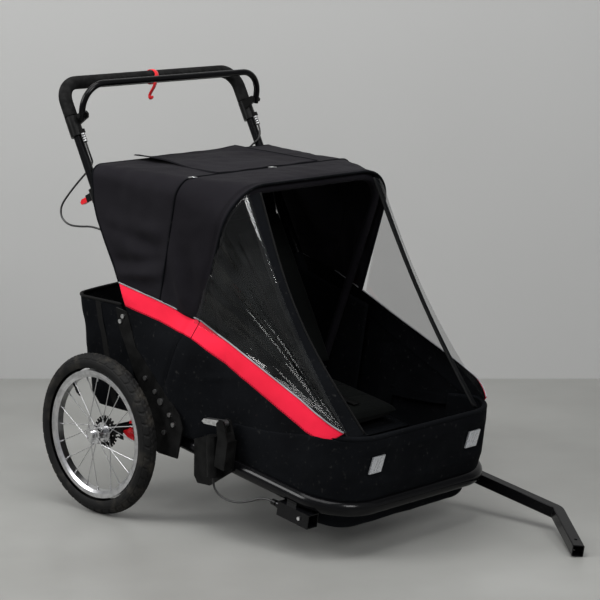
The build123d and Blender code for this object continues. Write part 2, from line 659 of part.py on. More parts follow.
side_outline = (
    (-44, 572), (112, 568.5), (222, 550), (404, 511), (611.6, 457), (611.6, 266), (156, 266), (156, 346),
    (106, 374), (40, 452), (-2, 524),
)
side_run = ((-50, WIDE_Y), (236, WIDE_Y), (272, 298), (330, FABRIC_Y), (620, FABRIC_Y))
for name, side in SIDES:
    with BuildPart() as side_panel:
        outer_run = [(x, side * y) for x, y in side_run]
        inner_run = [(x, side * (y - SIDE_CLOTH)) for x, y in reversed(side_run)]
        with BuildSketch(Plane.XY.offset(250)):
            with BuildLine():
                Polyline(*outer_run, *inner_run, close=True)
            make_face()
        extrude(amount=350)
        slab(side_outline, -330, 330, mode=Mode.INTERSECT)
        cross_pin(FOLD_X, FOLD_Z, 5.3, -330, 330, mode=Mode.SUBTRACT)
    finish(side_panel, f"side_panel_{name}")

    corners = [Vector(232, side * 282, 556), Vector(287, side * 240, 850), Vector(684, side * 240, 436)]
    with BuildPart() as side_window:
        film = Plane(origin=corners[0], x_dir=corners[1] - corners[0],
                     z_dir=(corners[1] - corners[0]).cross(corners[2] - corners[0]))
        with BuildSketch(film):
            with BuildLine():
                back, top, front = [film.to_local_coords(corner) for corner in corners]
                middle = (top + front) / 2
                slack_edge = middle + (back - middle).normalized() * WINDOW_SLACK
                Polyline(front, back, top)
                ThreePointArc(top, slack_edge, front)
            make_face()
        extrude(amount=1.5)
    finish(side_window, f"side_window_{name}")

    with BuildPart() as pillar:
        with BuildLine() as pillar_path:
            ThreePointArc((692, side * 208, 416), (471, side * 221, 618), (286, side * 211, 856))
        with BuildSketch(Plane(origin=pillar_path.line @ 0, x_dir=(0, 1, 0), z_dir=pillar_path.line % 0)):
            Rectangle(PILLAR_W, 4)
        sweep(path=pillar_path.line)
    finish(pillar, f"front_pillar_{name}")

front_wall_top = 413.0
with BuildPart() as front_panel:
    with BuildSketch(Plane.XY.offset(FRAME_Z + FRAME_R + 2)):
        with BuildLine() as front_line:
            edge_y = FABRIC_Y - CLOTH / 2
            FilletPolyline((612, -edge_y), (FRAME_FRONT, -edge_y), (FRAME_FRONT, edge_y), (612, edge_y),
                           radius=FRAME_CORNER)
        trace(line_width=CLOTH)
    extrude(amount=front_wall_top - FRAME_Z - FRAME_R - 2)
finish(front_panel, "front_panel")

with BuildPart() as front_reflectors:
    for side in (-1, 1):
        with BuildSketch(front_plane(FRAME_FRONT + CLOTH / 2 + 0.3, side * 172, 351)):
            with BuildLine():
                Polyline((-24, -20), (16, -20), (24, 20), (-16, 20), close=True)
            make_face()
        extrude(amount=4)
finish(front_reflectors, "front_reflectors")

tub_y = FRAME_Y - FRAME_R - 4
tub_forms = []
for inset in (0, CLOTH):
    with BuildPart() as tub_form:
        with BuildSketch(side_plane(tub_y)) as tub_side:
            with BuildLine():
                Polyline(
                    (448 + inset, 262 + 9 * inset), (448 + inset, 228 + inset), (540, 220 + inset),
                    (640, 182 + inset), (708 - inset, 180 + inset), (708 - inset, 262 + 9 * inset),
                    close=True,
                )
            make_face()
        with BuildSketch(Plane.XY.offset(150)) as tub_plan:
            with Locations((578, 0)):
                Rectangle(260 - 2 * inset, 2 * (tub_y - inset))
            fillet(tub_plan.vertices().group_by(Axis.X)[-1], radius=88 - inset)
        extrude(tub_side.sketch, amount=2 * tub_y)
        extrude(tub_plan.sketch, amount=200, mode=Mode.INTERSECT)
    tub_forms.append(tub_form.part)
with BuildPart() as footwell:
    add(tub_forms[0])
    add(tub_forms[1], mode=Mode.SUBTRACT)
finish(footwell, "footwell")

with BuildPart() as rear_panel:
    with BuildSketch(side_plane(FABRIC_Y - CLOTH - 1)):
        with BuildLine():
            Polyline((-168, 800), (-50, 566), (-22, 506), (80, 396), (84, 300))
        trace(line_width=CLOTH)
    extrude(amount=2 * (FABRIC_Y - CLOTH - 1))
finish(rear_panel, "rear_panel")

bag_y = 276.0
bag_outline = ((-236, 480), (-178, 345), (-146, 250), (-112, 228), (-50, 228), (56, 254), (-54, 506))
with BuildPart() as trunk_bag:
    with BuildSketch(side_plane(bag_y)):
        with BuildLine():
            Polyline(*bag_outline)
        trace(line_width=CLOTH)
    extrude(amount=2 * bag_y)
    for side in (-1, 1):
        slab(bag_outline, *sorted((side * bag_y, side * (bag_y - CLOTH))))
finish(trunk_bag, "trunk_bag")

seat_y = 250.0
with BuildPart() as seat_base:
    slab(((192, 285), (192, 325), (428, 325), (428, 285)), -seat_y, seat_y)
finish(seat_base, "seat_base")

with BuildPart() as seat_back:
    slab([along(*point)[::2] for point in ((8, 16), (8, 44), (415, 44), (415, 16))], -seat_y, seat_y)
finish(seat_back, "seat_back")

with BuildPart() as harness:
    for seat in (-125, 125):
        for strap in (-48, 48):
            slab([along(*point)[::2] for point in ((60, 44.3), (60, 46.3), (385, 46.3), (385, 44.3))],
                 seat + strap - 12, seat + strap + 12)
        slab(((250, 325.3), (250, 327.3), (400, 327.3), (400, 325.3)), seat - 12, seat + 12)
        slab(((262, 327.3), (262, 339), (308, 339), (308, 327.3)), seat - 22, seat + 22)
finish(harness, "harness")

# ---------------------------------------------------------------- origin under the middle of the box
boxes = [piece.bounding_box() for piece in finished]
low_x, high_x = min(box.min.X for box in boxes), max(box.max.X for box in boxes)
X_MID = (low_x + high_x) / 2
for piece in finished:
    placed = piece.moved(Location((-X_MID, 0, 0)))
    placed.label = piece.label
    export_step(placed, f"parts/{piece.label}.step")
lowest, highest = min(box.min.Z for box in boxes), max(box.max.Z for box in boxes)
print(
    f"{len(finished)} pieces, {high_x - low_x:.1f} mm long, {highest:.1f} mm high, lowest point {lowest:.3f},",
    f"pitch {PITCH:.4f} degrees, origin moved by {X_MID:.4f} mm",
)
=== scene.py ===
"""Looks of a two-seat child bicycle trailer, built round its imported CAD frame. Metres, row frame.

The soft goods are drawn in the trailer's own level frame, in millimetres: x forward of the axle,
y to the left, z up, with the axle 200 mm up. row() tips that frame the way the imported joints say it
stands.
"""
import math

import bpy
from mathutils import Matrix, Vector, noise
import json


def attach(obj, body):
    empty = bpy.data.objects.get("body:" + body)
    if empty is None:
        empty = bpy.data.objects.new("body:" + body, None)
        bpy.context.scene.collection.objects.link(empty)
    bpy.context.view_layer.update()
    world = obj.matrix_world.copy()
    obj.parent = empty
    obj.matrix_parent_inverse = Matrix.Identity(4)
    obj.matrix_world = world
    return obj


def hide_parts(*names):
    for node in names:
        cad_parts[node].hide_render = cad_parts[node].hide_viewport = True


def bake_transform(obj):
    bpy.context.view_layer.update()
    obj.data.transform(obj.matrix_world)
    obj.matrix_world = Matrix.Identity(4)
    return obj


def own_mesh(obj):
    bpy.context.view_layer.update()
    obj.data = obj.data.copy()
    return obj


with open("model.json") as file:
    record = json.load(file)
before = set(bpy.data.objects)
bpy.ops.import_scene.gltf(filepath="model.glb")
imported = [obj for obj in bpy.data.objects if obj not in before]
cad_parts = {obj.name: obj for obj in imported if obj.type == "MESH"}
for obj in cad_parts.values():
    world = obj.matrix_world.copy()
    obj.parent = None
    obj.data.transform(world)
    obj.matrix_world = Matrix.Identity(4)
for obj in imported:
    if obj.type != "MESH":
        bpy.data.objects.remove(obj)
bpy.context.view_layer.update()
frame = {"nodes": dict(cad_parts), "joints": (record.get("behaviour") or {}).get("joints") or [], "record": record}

# ---------------------------------------------------------------- the level frame
joints = {joint["name"]: joint for joint in frame["joints"]}
forward = Vector(joints["drawbar_slide"]["axis"])
wheel_place = Vector(joints["wheel_right_spin"]["pos_m"])
AXLE_Z = wheel_place.z * 1000
UP = Vector((-forward.z, 0, forward.x))
SIDES = (("right", -1), ("left", 1))
WHEEL_Y = abs(wheel_place.y) * 1000
BASE_TOP = 262


def row(point):
    """A level point in millimetres as a point of the row frame in metres."""
    x, y, z = point
    flat = forward * x + UP * (z - AXLE_Z)
    return Vector((flat.x / 1000 + wheel_place.x, y / 1000, flat.z / 1000 + wheel_place.z))


def lerp(a, b, t):
    return tuple(p + (q - p) * t for p, q in zip(a, b))


def table(points, x):
    """The value at x on straight runs between (x, value) pairs."""
    if x <= points[0][0]:
        return points[0][1]
    for (x0, v0), (x1, v1) in zip(points, points[1:]):
        if x <= x1:
            t = (x - x0) / (x1 - x0)
            return v0 + (v1 - v0) * t
    return points[-1][1]


def bell(x, middle, width):
    return math.exp(-(((x - middle) / width) ** 2))


def hump(t, power):
    """0 outside a share t from 0 to 1, and 1 at its middle."""
    return math.sin(math.pi * t) ** power if 0 < t < 1 else 0


def from_foot(u):
    """How far share u of an arch is from its nearer foot, 1 at the top."""
    return 2 * u if u <= 0.5 else 2 * (1 - u)


def rough(x, y, z, size, seed=0.0):
    """Soft noise from -1 to 1 with features about that many millimetres across."""
    return noise.noise(Vector((x / size + seed, y / size + 3.1 * seed, z / size - seed)))


# ---------------------------------------------------------------- materials
def shader(name):
    made = bpy.data.materials.new(name)
    made.use_nodes = True
    nodes, links = made.node_tree.nodes, made.node_tree.links
    principled = nodes["Principled BSDF"]
    place = nodes.new("ShaderNodeTexCoord").outputs["Object"]
    return made, nodes, links, principled, place


def noise_height(nodes, links, place, scale, detail=2):
    texture = nodes.new("ShaderNodeTexNoise")
    texture.inputs["Scale"].default_value = scale
    texture.inputs["Detail"].default_value = detail
    links.new(place, texture.inputs["Vector"])
    return texture.outputs["Fac"]


def mottle(nodes, links, place, scale, detail, low, high, low_at=0.4, high_at=0.65):
    """A noise ramp between two colours."""
    ramp = nodes.new("ShaderNodeValToRGB")
    ramp.color_ramp.elements[0].position = low_at
    ramp.color_ramp.elements[1].position = high_at
    ramp.color_ramp.elements[0].color = (*low, 1)
    ramp.color_ramp.elements[1].color = (*high, 1)
    links.new(noise_height(nodes, links, place, scale, detail), ramp.inputs["Fac"])
    return ramp.outputs["Color"]


def bumped(nodes, links, principled, heights, distance=0.001):
    """A chain of bump nodes, one for each (height socket, strength)."""
    last = None
    for height, strength in heights:
        node = nodes.new("ShaderNodeBump")
        node.inputs["Strength"].default_value = strength
        node.inputs["Distance"].default_value = distance
        links.new(height, node.inputs["Height"])
        if last:
            links.new(last, node.inputs["Normal"])
        last = node.outputs["Normal"]
    links.new(last, principled.inputs["Normal"])


def weave(nodes, links, place, pitch):
    """Height of a plain weave with that thread pitch in metres."""
    split = nodes.new("ShaderNodeSeparateXYZ")
    links.new(place, split.inputs[0])
    total = None
    for axis in ("X", "Y", "Z"):
        scaled = nodes.new("ShaderNodeMath")
        scaled.operation = "MULTIPLY"
        scaled.inputs[1].default_value = 2 * math.pi / pitch
        wave = nodes.new("ShaderNodeMath")
        wave.operation = "SINE"
        links.new(split.outputs[axis], scaled.inputs[0])
        links.new(scaled.outputs[0], wave.inputs[0])
        if total is None:
            total = wave.outputs[0]
        else:
            adder = nodes.new("ShaderNodeMath")
            links.new(total, adder.inputs[0])
            links.new(wave.outputs[0], adder.inputs[1])
            total = adder.outputs[0]
    return total


def cloth_material(name, colour, faded, roughness=0.8, sheen=0.02, pitch=0.0016, dust=None,
                   shine=0.16):
    made, nodes, links, principled, place = shader(name)
    tone = mottle(nodes, links, place, 5, 5, colour, faded)
    if dust:
        specks = nodes.new("ShaderNodeMix")
        specks.data_type = "RGBA"
        grey = mottle(nodes, links, place, 90, 8, (0, 0, 0), (1, 1, 1), 0.62, 0.74)
        links.new(grey, specks.inputs["Factor"])
        links.new(tone, specks.inputs["A"])
        specks.inputs["B"].default_value = (*dust, 1)
        tone = specks.outputs["Result"]
    links.new(tone, principled.inputs["Base Color"])
    principled.inputs["Roughness"].default_value = roughness
    principled.inputs["Specular IOR Level"].default_value = shine
    principled.inputs["Sheen Weight"].default_value = sheen
    principled.inputs["Sheen Roughness"].default_value = 0.5
    crumple = noise_height(nodes, links, place, 26, 4)
    threads = weave(nodes, links, place, pitch)
    bumped(nodes, links, principled, [(crumple, 0.5), (threads, 0.12)], 0.002)
    return made


def solid_material(name, colour, other, roughness, metallic=0.0, scale=30.0, bump=0.05,
                   bump_scale=400.0, low_at=0.4, high_at=0.65, shine=0.5):
    made, nodes, links, principled, place = shader(name)
    tone = mottle(nodes, links, place, scale, 6, colour, other, low_at, high_at)
    links.new(tone, principled.inputs["Base Color"])
    principled.inputs["Roughness"].default_value = roughness
    principled.inputs["Metallic"].default_value = metallic
    principled.inputs["Specular IOR Level"].default_value = shine
    bumped(nodes, links, principled, [(noise_height(nodes, links, place, bump_scale, 3), bump)], 0.0006)
    return made


def film_material():
    made, nodes, links, principled, place = shader("clear_vinyl")
    tone = mottle(nodes, links, place, 14, 4, (0.004, 0.0045, 0.0045), (0.03, 0.032, 0.032))
    links.new(tone, principled.inputs["Base Color"])
    principled.inputs["Roughness"].default_value = 0.06
    principled.inputs["IOR"].default_value = 1.8
    principled.inputs["Alpha"].default_value = 0.17
    bumped(nodes, links, principled, [(noise_height(nodes, links, place, 24, 1), 0.12)], 0.004)
    return made


def reflector_material():
    made, nodes, links, principled, place = shader("reflector_prisms")
    cells = nodes.new("ShaderNodeTexVoronoi")
    cells.inputs["Scale"].default_value = 420
    links.new(place, cells.inputs["Vector"])
    ramp = nodes.new("ShaderNodeValToRGB")
    ramp.color_ramp.elements[0].color = (0.75, 0.76, 0.78, 1)
    ramp.color_ramp.elements[1].color = (0.35, 0.36, 0.38, 1)
    links.new(cells.outputs["Distance"], ramp.inputs["Fac"])
    links.new(ramp.outputs["Color"], principled.inputs["Base Color"])
    principled.inputs["Roughness"].default_value = 0.3
    principled.inputs["Metallic"].default_value = 0.35
    principled.inputs["Coat Weight"].default_value = 0.8
    bumped(nodes, links, principled, [(cells.outputs["Distance"], 0.4)], 0.001)
    return made


def tyre_material():
    made, nodes, links, principled, place = shader("tyre_rubber")
    tone = mottle(nodes, links, place, 22, 8, (0.004, 0.004, 0.004), (0.045, 0.04, 0.032), 0.5, 0.85)
    links.new(tone, principled.inputs["Base Color"])
    principled.inputs["Roughness"].default_value = 0.7
    principled.inputs["Specular IOR Level"].default_value = 0.2
    bumped(nodes, links, principled, [(noise_height(nodes, links, place, 300), 0.25)], 0.001)
    return made


black_sleeve = solid_material("black_sleeve", (0.006, 0.006, 0.006), (0.012, 0.012, 0.012), 0.35)
silver_thread = solid_material("grey_piping", (0.2, 0.2, 0.21), (0.3, 0.31, 0.32), 0.5, bump=0.1)
FINISHES = {
    "black_tube": solid_material("black_paint", (0.0025, 0.0025, 0.003), (0.009, 0.009, 0.009), 0.18,
                                 scale=60, bump=0.02, low_at=0.62, high_at=0.82, shine=0.16),
    "black_plate": solid_material("black_plate", (0.004, 0.004, 0.004), (0.009, 0.009, 0.009), 0.4,
                                  scale=40, shine=0.08),
    "tyre_rubber": tyre_material(),
    "rim_alloy": solid_material("rim_alloy", (0.62, 0.62, 0.63), (0.45, 0.45, 0.46), 0.28, 1.0, 60, 0.05),
    "spoke_steel": solid_material("spoke_steel", (0.62, 0.62, 0.63), (0.5, 0.5, 0.5), 0.3, 1.0, 60, 0.02),
    "hub_chrome": solid_material("hub_chrome", (0.7, 0.7, 0.71), (0.4, 0.4, 0.41), 0.22, 1.0, 80, 0.03),
    "bolt_steel": solid_material("bolt_steel", (0.7, 0.7, 0.7), (0.5, 0.5, 0.5), 0.3, 1.0, 120, 0.05),
    "grip_foam": solid_material("grip_foam", (0.006, 0.006, 0.006), (0.013, 0.013, 0.013), 0.85,
                                scale=80, bump=0.5, bump_scale=900, shine=0.08),
    "charcoal_cloth": cloth_material("charcoal_cloth", (0.0064, 0.0056, 0.0078), (0.0096, 0.0088, 0.0114),
                                     roughness=0.8, sheen=0.01, shine=0.1),
    "black_cloth": cloth_material("black_cloth", (0.0024, 0.0028, 0.0036), (0.0046, 0.0052, 0.0064),
                                  roughness=0.85, sheen=0.0, dust=(0.018, 0.018, 0.018), shine=0.05),
    "seat_cloth": cloth_material("seat_cloth", (0.0025, 0.003, 0.0028), (0.004, 0.0048, 0.0045), shine=0.06),
    "webbing": cloth_material("webbing", (0.003, 0.003, 0.003), (0.007, 0.007, 0.007), 0.7, 0.0, 0.002,
                              shine=0.12),
    "clear_film": film_material(),
    "reflector": reflector_material(),
    "red_plastic": solid_material("red_plastic", (0.7, 0.012, 0.02), (0.55, 0.01, 0.015), 0.3, scale=40),
    "red_cord": cloth_material("red_cord", (0.75, 0.015, 0.02), (0.6, 0.012, 0.018), 0.6, 0.2, 0.0012),
    "black_plastic": solid_material("black_plastic", (0.004, 0.004, 0.004), (0.008, 0.008, 0.008), 0.33,
                                    bump=0.12, shine=0.14),
    "cable_sleeve": black_sleeve,
}
red_cloth = cloth_material("red_cloth", (1.0, 0.017, 0.058), (0.88, 0.014, 0.046), 0.7, 0.0)

slots = {part["node"]: part["material_slot"] for part in frame["record"]["subparts"]}


def paint(obj, material):
    obj.data.materials.clear()
    obj.data.materials.append(material)


def add_object(name, data):
    obj = bpy.data.objects.new(name, data)
    bpy.context.scene.collection.objects.link(obj)
    return obj


for name, node in frame["nodes"].items():
    paint(node, FINISHES[slots[name]])
    node.data.shade_smooth()
    node.data.set_sharp_from_angle(angle=math.radians(35))


def piece(name, verts, faces, slot, body="base", material=None, replaces=(), thick=0.0, folds=True,
          keep=0.07, sharp=None):
    """A smooth mesh from level points, riding a body. A piece that folds gets its own copy of its mesh."""
    data = bpy.data.meshes.new(name)
    data.from_pydata([row(v) for v in verts], [], faces)
    data.validate()
    obj = add_object(name, data)
    paint(obj, material or FINISHES[slot])
    data.shade_smooth()
    if sharp:
        data.set_sharp_from_angle(angle=math.radians(sharp))
    if thick:
        shell = obj.modifiers.new("Thickness", "SOLIDIFY")
        shell.thickness = thick
        shell.offset = 0
    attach(obj, body)
    if replaces:
        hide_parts(*replaces)
    if folds:
        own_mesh(obj)
    return obj


def patch(shape, across, down, swell=None):
    """Vertices and faces of the surface shape(u, v), pushed out along its normal by swell(u, v) mm."""
    verts, faces = [], []
    step = 1e-3
    for i in range(across + 1):
        for j in range(down + 1):
            u, v = i / across, j / down
            here = Vector(shape(u, v))
            if swell:
                along_u = Vector(shape(min(u + step, 1), v)) - Vector(shape(max(u - step, 0), v))
                along_v = Vector(shape(u, min(v + step, 1))) - Vector(shape(u, max(v - step, 0)))
                normal = along_u.cross(along_v)
                if normal.length > 1e-12:
                    here = here + normal.normalized() * swell(u, v)
            verts.append(tuple(here))
    wide = down + 1
    for i in range(across):
        for j in range(down):
            faces.append((i * wide + j, (i + 1) * wide + j, (i + 1) * wide + j + 1, i * wide + j + 1))
    return verts, faces


def tube(points, radius, sides=8, closed=False, squeeze=1.0):
    """Vertices and faces of a tube along level points. radius may be a function of the share along."""
    points = [Vector(p) for p in points]
    count = len(points)
    verts, faces = [], []
    normal = None
    for index, point in enumerate(points):
        if closed:
            tangent = points[(index + 1) % count] - points[index - 1]
        else:
            tangent = points[min(index + 1, count - 1)] - points[max(index - 1, 0)]
        tangent.normalize()
        if normal is None:
            start = Vector((0, 0, 1)) if abs(tangent.z) < 0.9 else Vector((1, 0, 0))
            normal = start - tangent * start.dot(tangent)
        normal = (normal - tangent * normal.dot(tangent)).normalized()
        other = tangent.cross(normal)
        size = radius(index / max(count - 1, 1)) if callable(radius) else radius
        for k in range(sides):
            turn = 2 * math.pi * k / sides
            place = point + normal * (size * squeeze * math.cos(turn)) + other * (size * math.sin(turn))
            verts.append(tuple(place))
    for index in range(count if closed else count - 1):
        after = (index + 1) % count
        for k in range(sides):
            near = (k + 1) % sides
            faces.append((index * sides + k, index * sides + near, after * sides + near, after * sides + k))
    if not closed:
        faces.append(tuple(reversed(range(sides))))
        faces.append(tuple((count - 1) * sides + k for k in range(sides)))
    return verts, faces


def joined(*parts):
    """Several (verts, faces) as one."""
    verts, faces = [], []
    for some_verts, some_faces in parts:
        base = len(verts)
        verts += some_verts
        faces += [tuple(i + base for i in face) for face in some_faces]
    return verts, faces


def smooth_line(points, steps=10):
    """A Catmull-Rom line through the points."""
    points = [Vector(p) for p in points]
    line = []
    for i in range(len(points) - 1):
        a, b, c, d = points[max(i - 1, 0)], points[i], points[i + 1], points[min(i + 2, len(points) - 1)]
        for k in range(steps):
            t = k / steps
            line.append(0.5 * (2 * b + (c - a) * t + (2 * a - 5 * b + 4 * c - d) * t * t
                               + (3 * b - 3 * c + d - a) * t ** 3))
    line.append(points[-1])
    return line


def stitches(line, length=3.2, gap=2.2, radius=0.45, lift=(0, 0, 0)):
    """Short threads along a line of level points."""
    parts = []
    points = [Vector(p) + Vector(lift) for p in line]
    position, due = 0.0, 0.0
    for a, b in zip(points, points[1:]):
        run = (b - a).length
        if run < 1e-6:
            continue
        while due + length <= position + run:
            t0 = max(due - position, 0) / run
            t1 = (due + length - position) / run
            parts.append(tube([a.lerp(b, t0), a.lerp(b, min(t1, 1))], radius, 5))
            due += length + gap
        position += run
        due = max(due, position)
    return joined(*parts)


# ---------------------------------------------------------------- cloth outlines
CORNER_X, CORNER_Y, CORNER_R = 620.0, 170.5, 111.5
CORNER_END = CORNER_X + CORNER_R * math.pi / 2
MIDDLE = CORNER_END + CORNER_Y
WIDE_HIGH = ((-30, 320), (112, 307), (228, 285), (330, 282))
WIDE_LOW = ((-30, 316), (190, 316), (272, 296), (330, 282))


def smooth(t):
    t = min(max(t, 0.0), 1.0)
    return t * t * (3 - 2 * t)


def plan(q, side, out=0.0, z=300.0):
    """The cloth wall's (x, y) at distance q forward of the axle, measured round the front corner.
    Behind the release brackets the wall widens to cover the uprights."""
    if q <= CORNER_X:
        share = smooth((z - 470) / 90)
        half = table(WIDE_LOW, q) * (1 - share) + table(WIDE_HIGH, q) * share
        return q, side * (half + out)
    if q <= CORNER_END:
        turn = (q - CORNER_X) / CORNER_R
        radius = CORNER_R + out
        return (CORNER_X + radius * math.sin(turn), side * (CORNER_Y + radius * math.cos(turn)))
    return CORNER_X + CORNER_R + out, side * (MIDDLE - q)


BAND_TOP = ((-24, 577), (109, 570), (234, 555), (404, 514), (574, 473), (640, 453), (700, 428))
BAND_LOW = ((4, 526), (119, 523), (222, 511), (379, 466), (518, 428), (600, 405), (640, 400), (700, 402))
HEM = ((369, 347), (431, 356), (527, 376), (600, 398), (660, 410), (760, 414), (966, 414))


def side_low(q):
    """The lower edge of the side panel."""
    edge = table(((-24, 577), (4, 526), (42, 452), (108, 374), (150, 346), (158, 268)), q)
    if q > 380:
        edge = max(edge, table(HEM, q) - 26)
    return edge


def side_swell(q, z):
    """How far the side cloth stands out at (q, z)."""
    low, top = side_low(q), table(BAND_TOP, q)
    span = max(top - low, 1)
    t = min(max((z - low) / span, 0), 1)
    edge = hump(t, 0.6)
    belly = 5 * edge * bell(q, 260, 260)
    seam_q = 196 - (510 - z) * 0.22
    pull = -3.5 * bell(q, seam_q, 7) * edge
    folds = 3.2 * bell(q, seam_q + 34 + (500 - z) * 0.10, 13) * bell(z, 440, 70)
    folds -= 2.4 * bell(q, seam_q + 62 + (500 - z) * 0.22, 11) * bell(z, 430, 60)
    folds += 2.2 * bell(z - 0.35 * q, 330, 9) * bell(q, 330, 70) * edge
    soft = 2.0 * rough(q, 0, z, 70, 1.3) + 1.0 * rough(q, 0, z, 28, 4.1)
    total = belly + pull + (folds + soft) * edge
    return max(total, 0.0) if q < 170 else total


def side_point(q, z, side, extra=0.0):
    x, y = plan(q, side, side_swell(q, z) + extra, z)
    return (x, y, z)


REAR_EDGE = ((577, -24), (611, -47), (661, -87), (711, -124), (745, -142), (777, -150), (810, -158),
             (835, -165))
REAR_BOW = ((-24, 577), (-165, 835), 30.0, 320.0)
SEAM_BOW = ((109, 570), (122, 875), 48.0, 307.0)
FRONT_BOW = ((228, 552), (278, 892), 110.0, 285.0)


def bow(spec, u, inset=0.0):
    """A point of a bow arch at share u, from the right foot over the top to the left foot."""
    (x0, z0), (x1, z1), corner, half = spec
    rise = math.hypot(x1 - x0, z1 - z0)
    side = -1 if u <= 0.5 else 1
    t = from_foot(u)
    straight, bend = 0.46, 0.62
    if t < straight:
        y, h = half, (rise - corner) * t / straight
    elif t < bend:
        turn = (t - straight) / (bend - straight) * math.pi / 2
        y, h = half - corner + corner * math.cos(turn), rise - corner + corner * math.sin(turn)
    else:
        y, h = (half - corner) * (1 - (t - bend) / (1 - bend)), rise
    return (x0 + (x1 - x0) * h / rise, side * (y - inset), z0 + (z1 - z0) * h / rise)


def rear_bow(u):
    """The roof's rear edge, which sweeps forward at its feet."""
    x, y, z = bow(REAR_BOW, u)
    return (table(REAR_EDGE, z), y, z)


def roof_shape(u, v):
    return lerp(rear_bow(u), bow(SEAM_BOW, u), v)


def roof_swell(u, v):
    x, y, z = roof_shape(u, v)
    t = from_foot(u)
    edge = hump(v, 0.7)
    top = max(0, (t - 0.6) / 0.4)
    sag = -9 * edge * top
    side_part = max(0, 1 - t / 0.5)
    flutes = 8.0 * side_part * bell(v, 0.78, 0.22) * math.sin(z / 15.0 + 1.2 * rough(x, y, z, 60, 2.2))
    flutes += 6.0 * side_part * bell(v, 0.3, 0.25) * math.sin((z + 0.5 * x) / 24.0 + 2.0)
    soft = 4.0 * rough(x, y, z, 85, 0.7) + 2.0 * rough(x, y, z, 34, 5.0)
    tucks = bell(z - 0.25 * x, 640, 13) - bell(z - 0.25 * x, 606, 12) + bell(z, 700, 16)
    tucks *= 11 * side_part * edge
    return sag + edge * (1.7 * flutes * math.sin(math.pi * min(t / 0.5, 1)) + soft) + tucks


def hood_shape(u, v):
    return lerp(bow(SEAM_BOW, u), bow(FRONT_BOW, u), v)


def hood_swell(u, v):
    x, y, z = hood_shape(u, v)
    t = from_foot(u)
    edge = hump(v, 0.7)
    foot = max(0, 1 - t / 0.45)
    drape = -5.5 * edge * foot * (0.4 + 0.6 * bell(v, 0.45, 0.3)) + 1.6 * bell(v, 0.92, 0.05)
    folds = 12 * foot * math.sin((1.15 * x + 0.55 * z) / 15.0 + 0.6) * bell(t, 0.17, 0.15)
    soft = 4.0 * rough(x, y, z, 80, 2.7) + 1.5 * rough(x, y, z, 30, 7.0)
    top = -5 * edge * max(0, (t - 0.62) / 0.38)
    return drape + top + edge * (folds + soft)


# ---------------------------------------------------------------- cabin cloth
roof = piece("roof_cloth", *patch(roof_shape, 150, 44, roof_swell), slot="charcoal_cloth", replaces=["roof"],
             thick=0.0012)
hood = piece("hood_cloth", *patch(hood_shape, 170, 34, hood_swell), slot="charcoal_cloth", replaces=["hood"],
             thick=0.0012)

edge_line = [bow(FRONT_BOW, k / 160) for k in range(161)]
seam_line = [bow(SEAM_BOW, k / 160) for k in range(161)]
rear_line = [rear_bow(k / 160) for k in range(161)]
seams = joined(
    tube(edge_line, 3.2, 8), tube([(x + 1, y * 1.003, z + 1) for x, y, z in seam_line], 2.0, 8),
    tube(rear_line, 2.4, 8),
)
piece("hood_piping", *seams, slot="charcoal_cloth", material=FINISHES["black_cloth"])

threads = []
for back in (9, 13):
    threads.append(stitches([hood_shape(k / 300, 1 - back / 110) for k in range(301)], lift=(0.4, 0, 1.4)))
piece("hood_stitches", *joined(*threads), slot="charcoal_cloth", material=FINISHES["webbing"])


FLAP_HALF, FLAP_REAR, FLAP_FRONT = 177, -172, 120


def flap_shape(u, v):
    y = -FLAP_HALF + 2 * FLAP_HALF * u
    x = FLAP_REAR + (FLAP_FRONT - FLAP_REAR) * v
    lift = 3.5 + 11 * bell(u, 0, 0.1) * math.sin(math.pi * min(v + 0.3, 1)) + 5 * bell(u, 1, 0.1) * (1 - v)
    z = 835 + (x + 165) * 0.139 + lift - 7 * math.sin(math.pi * v) * math.sin(math.pi * u)
    return (x, y, z + 2.0 * rough(x, y, 0, 60, 3.0))


flap = piece("roof_flap_cloth", *patch(flap_shape, 60, 24), slot="charcoal_cloth", replaces=["roof_flap"],
             thick=0.0016)
flap_edge = [flap_shape(0.012, 1 - k / 40) for k in range(41)]
flap_edge += [flap_shape(k / 60, 0.02) for k in range(1, 60)]
flap_edge += [flap_shape(0.988, k / 40) for k in range(41)]
piece("roof_flap_hem", *tube([(x, y, z + 0.6) for x, y, z in flap_edge], 1.5, 6), slot="charcoal_cloth",
      material=FINISHES["black_cloth"])

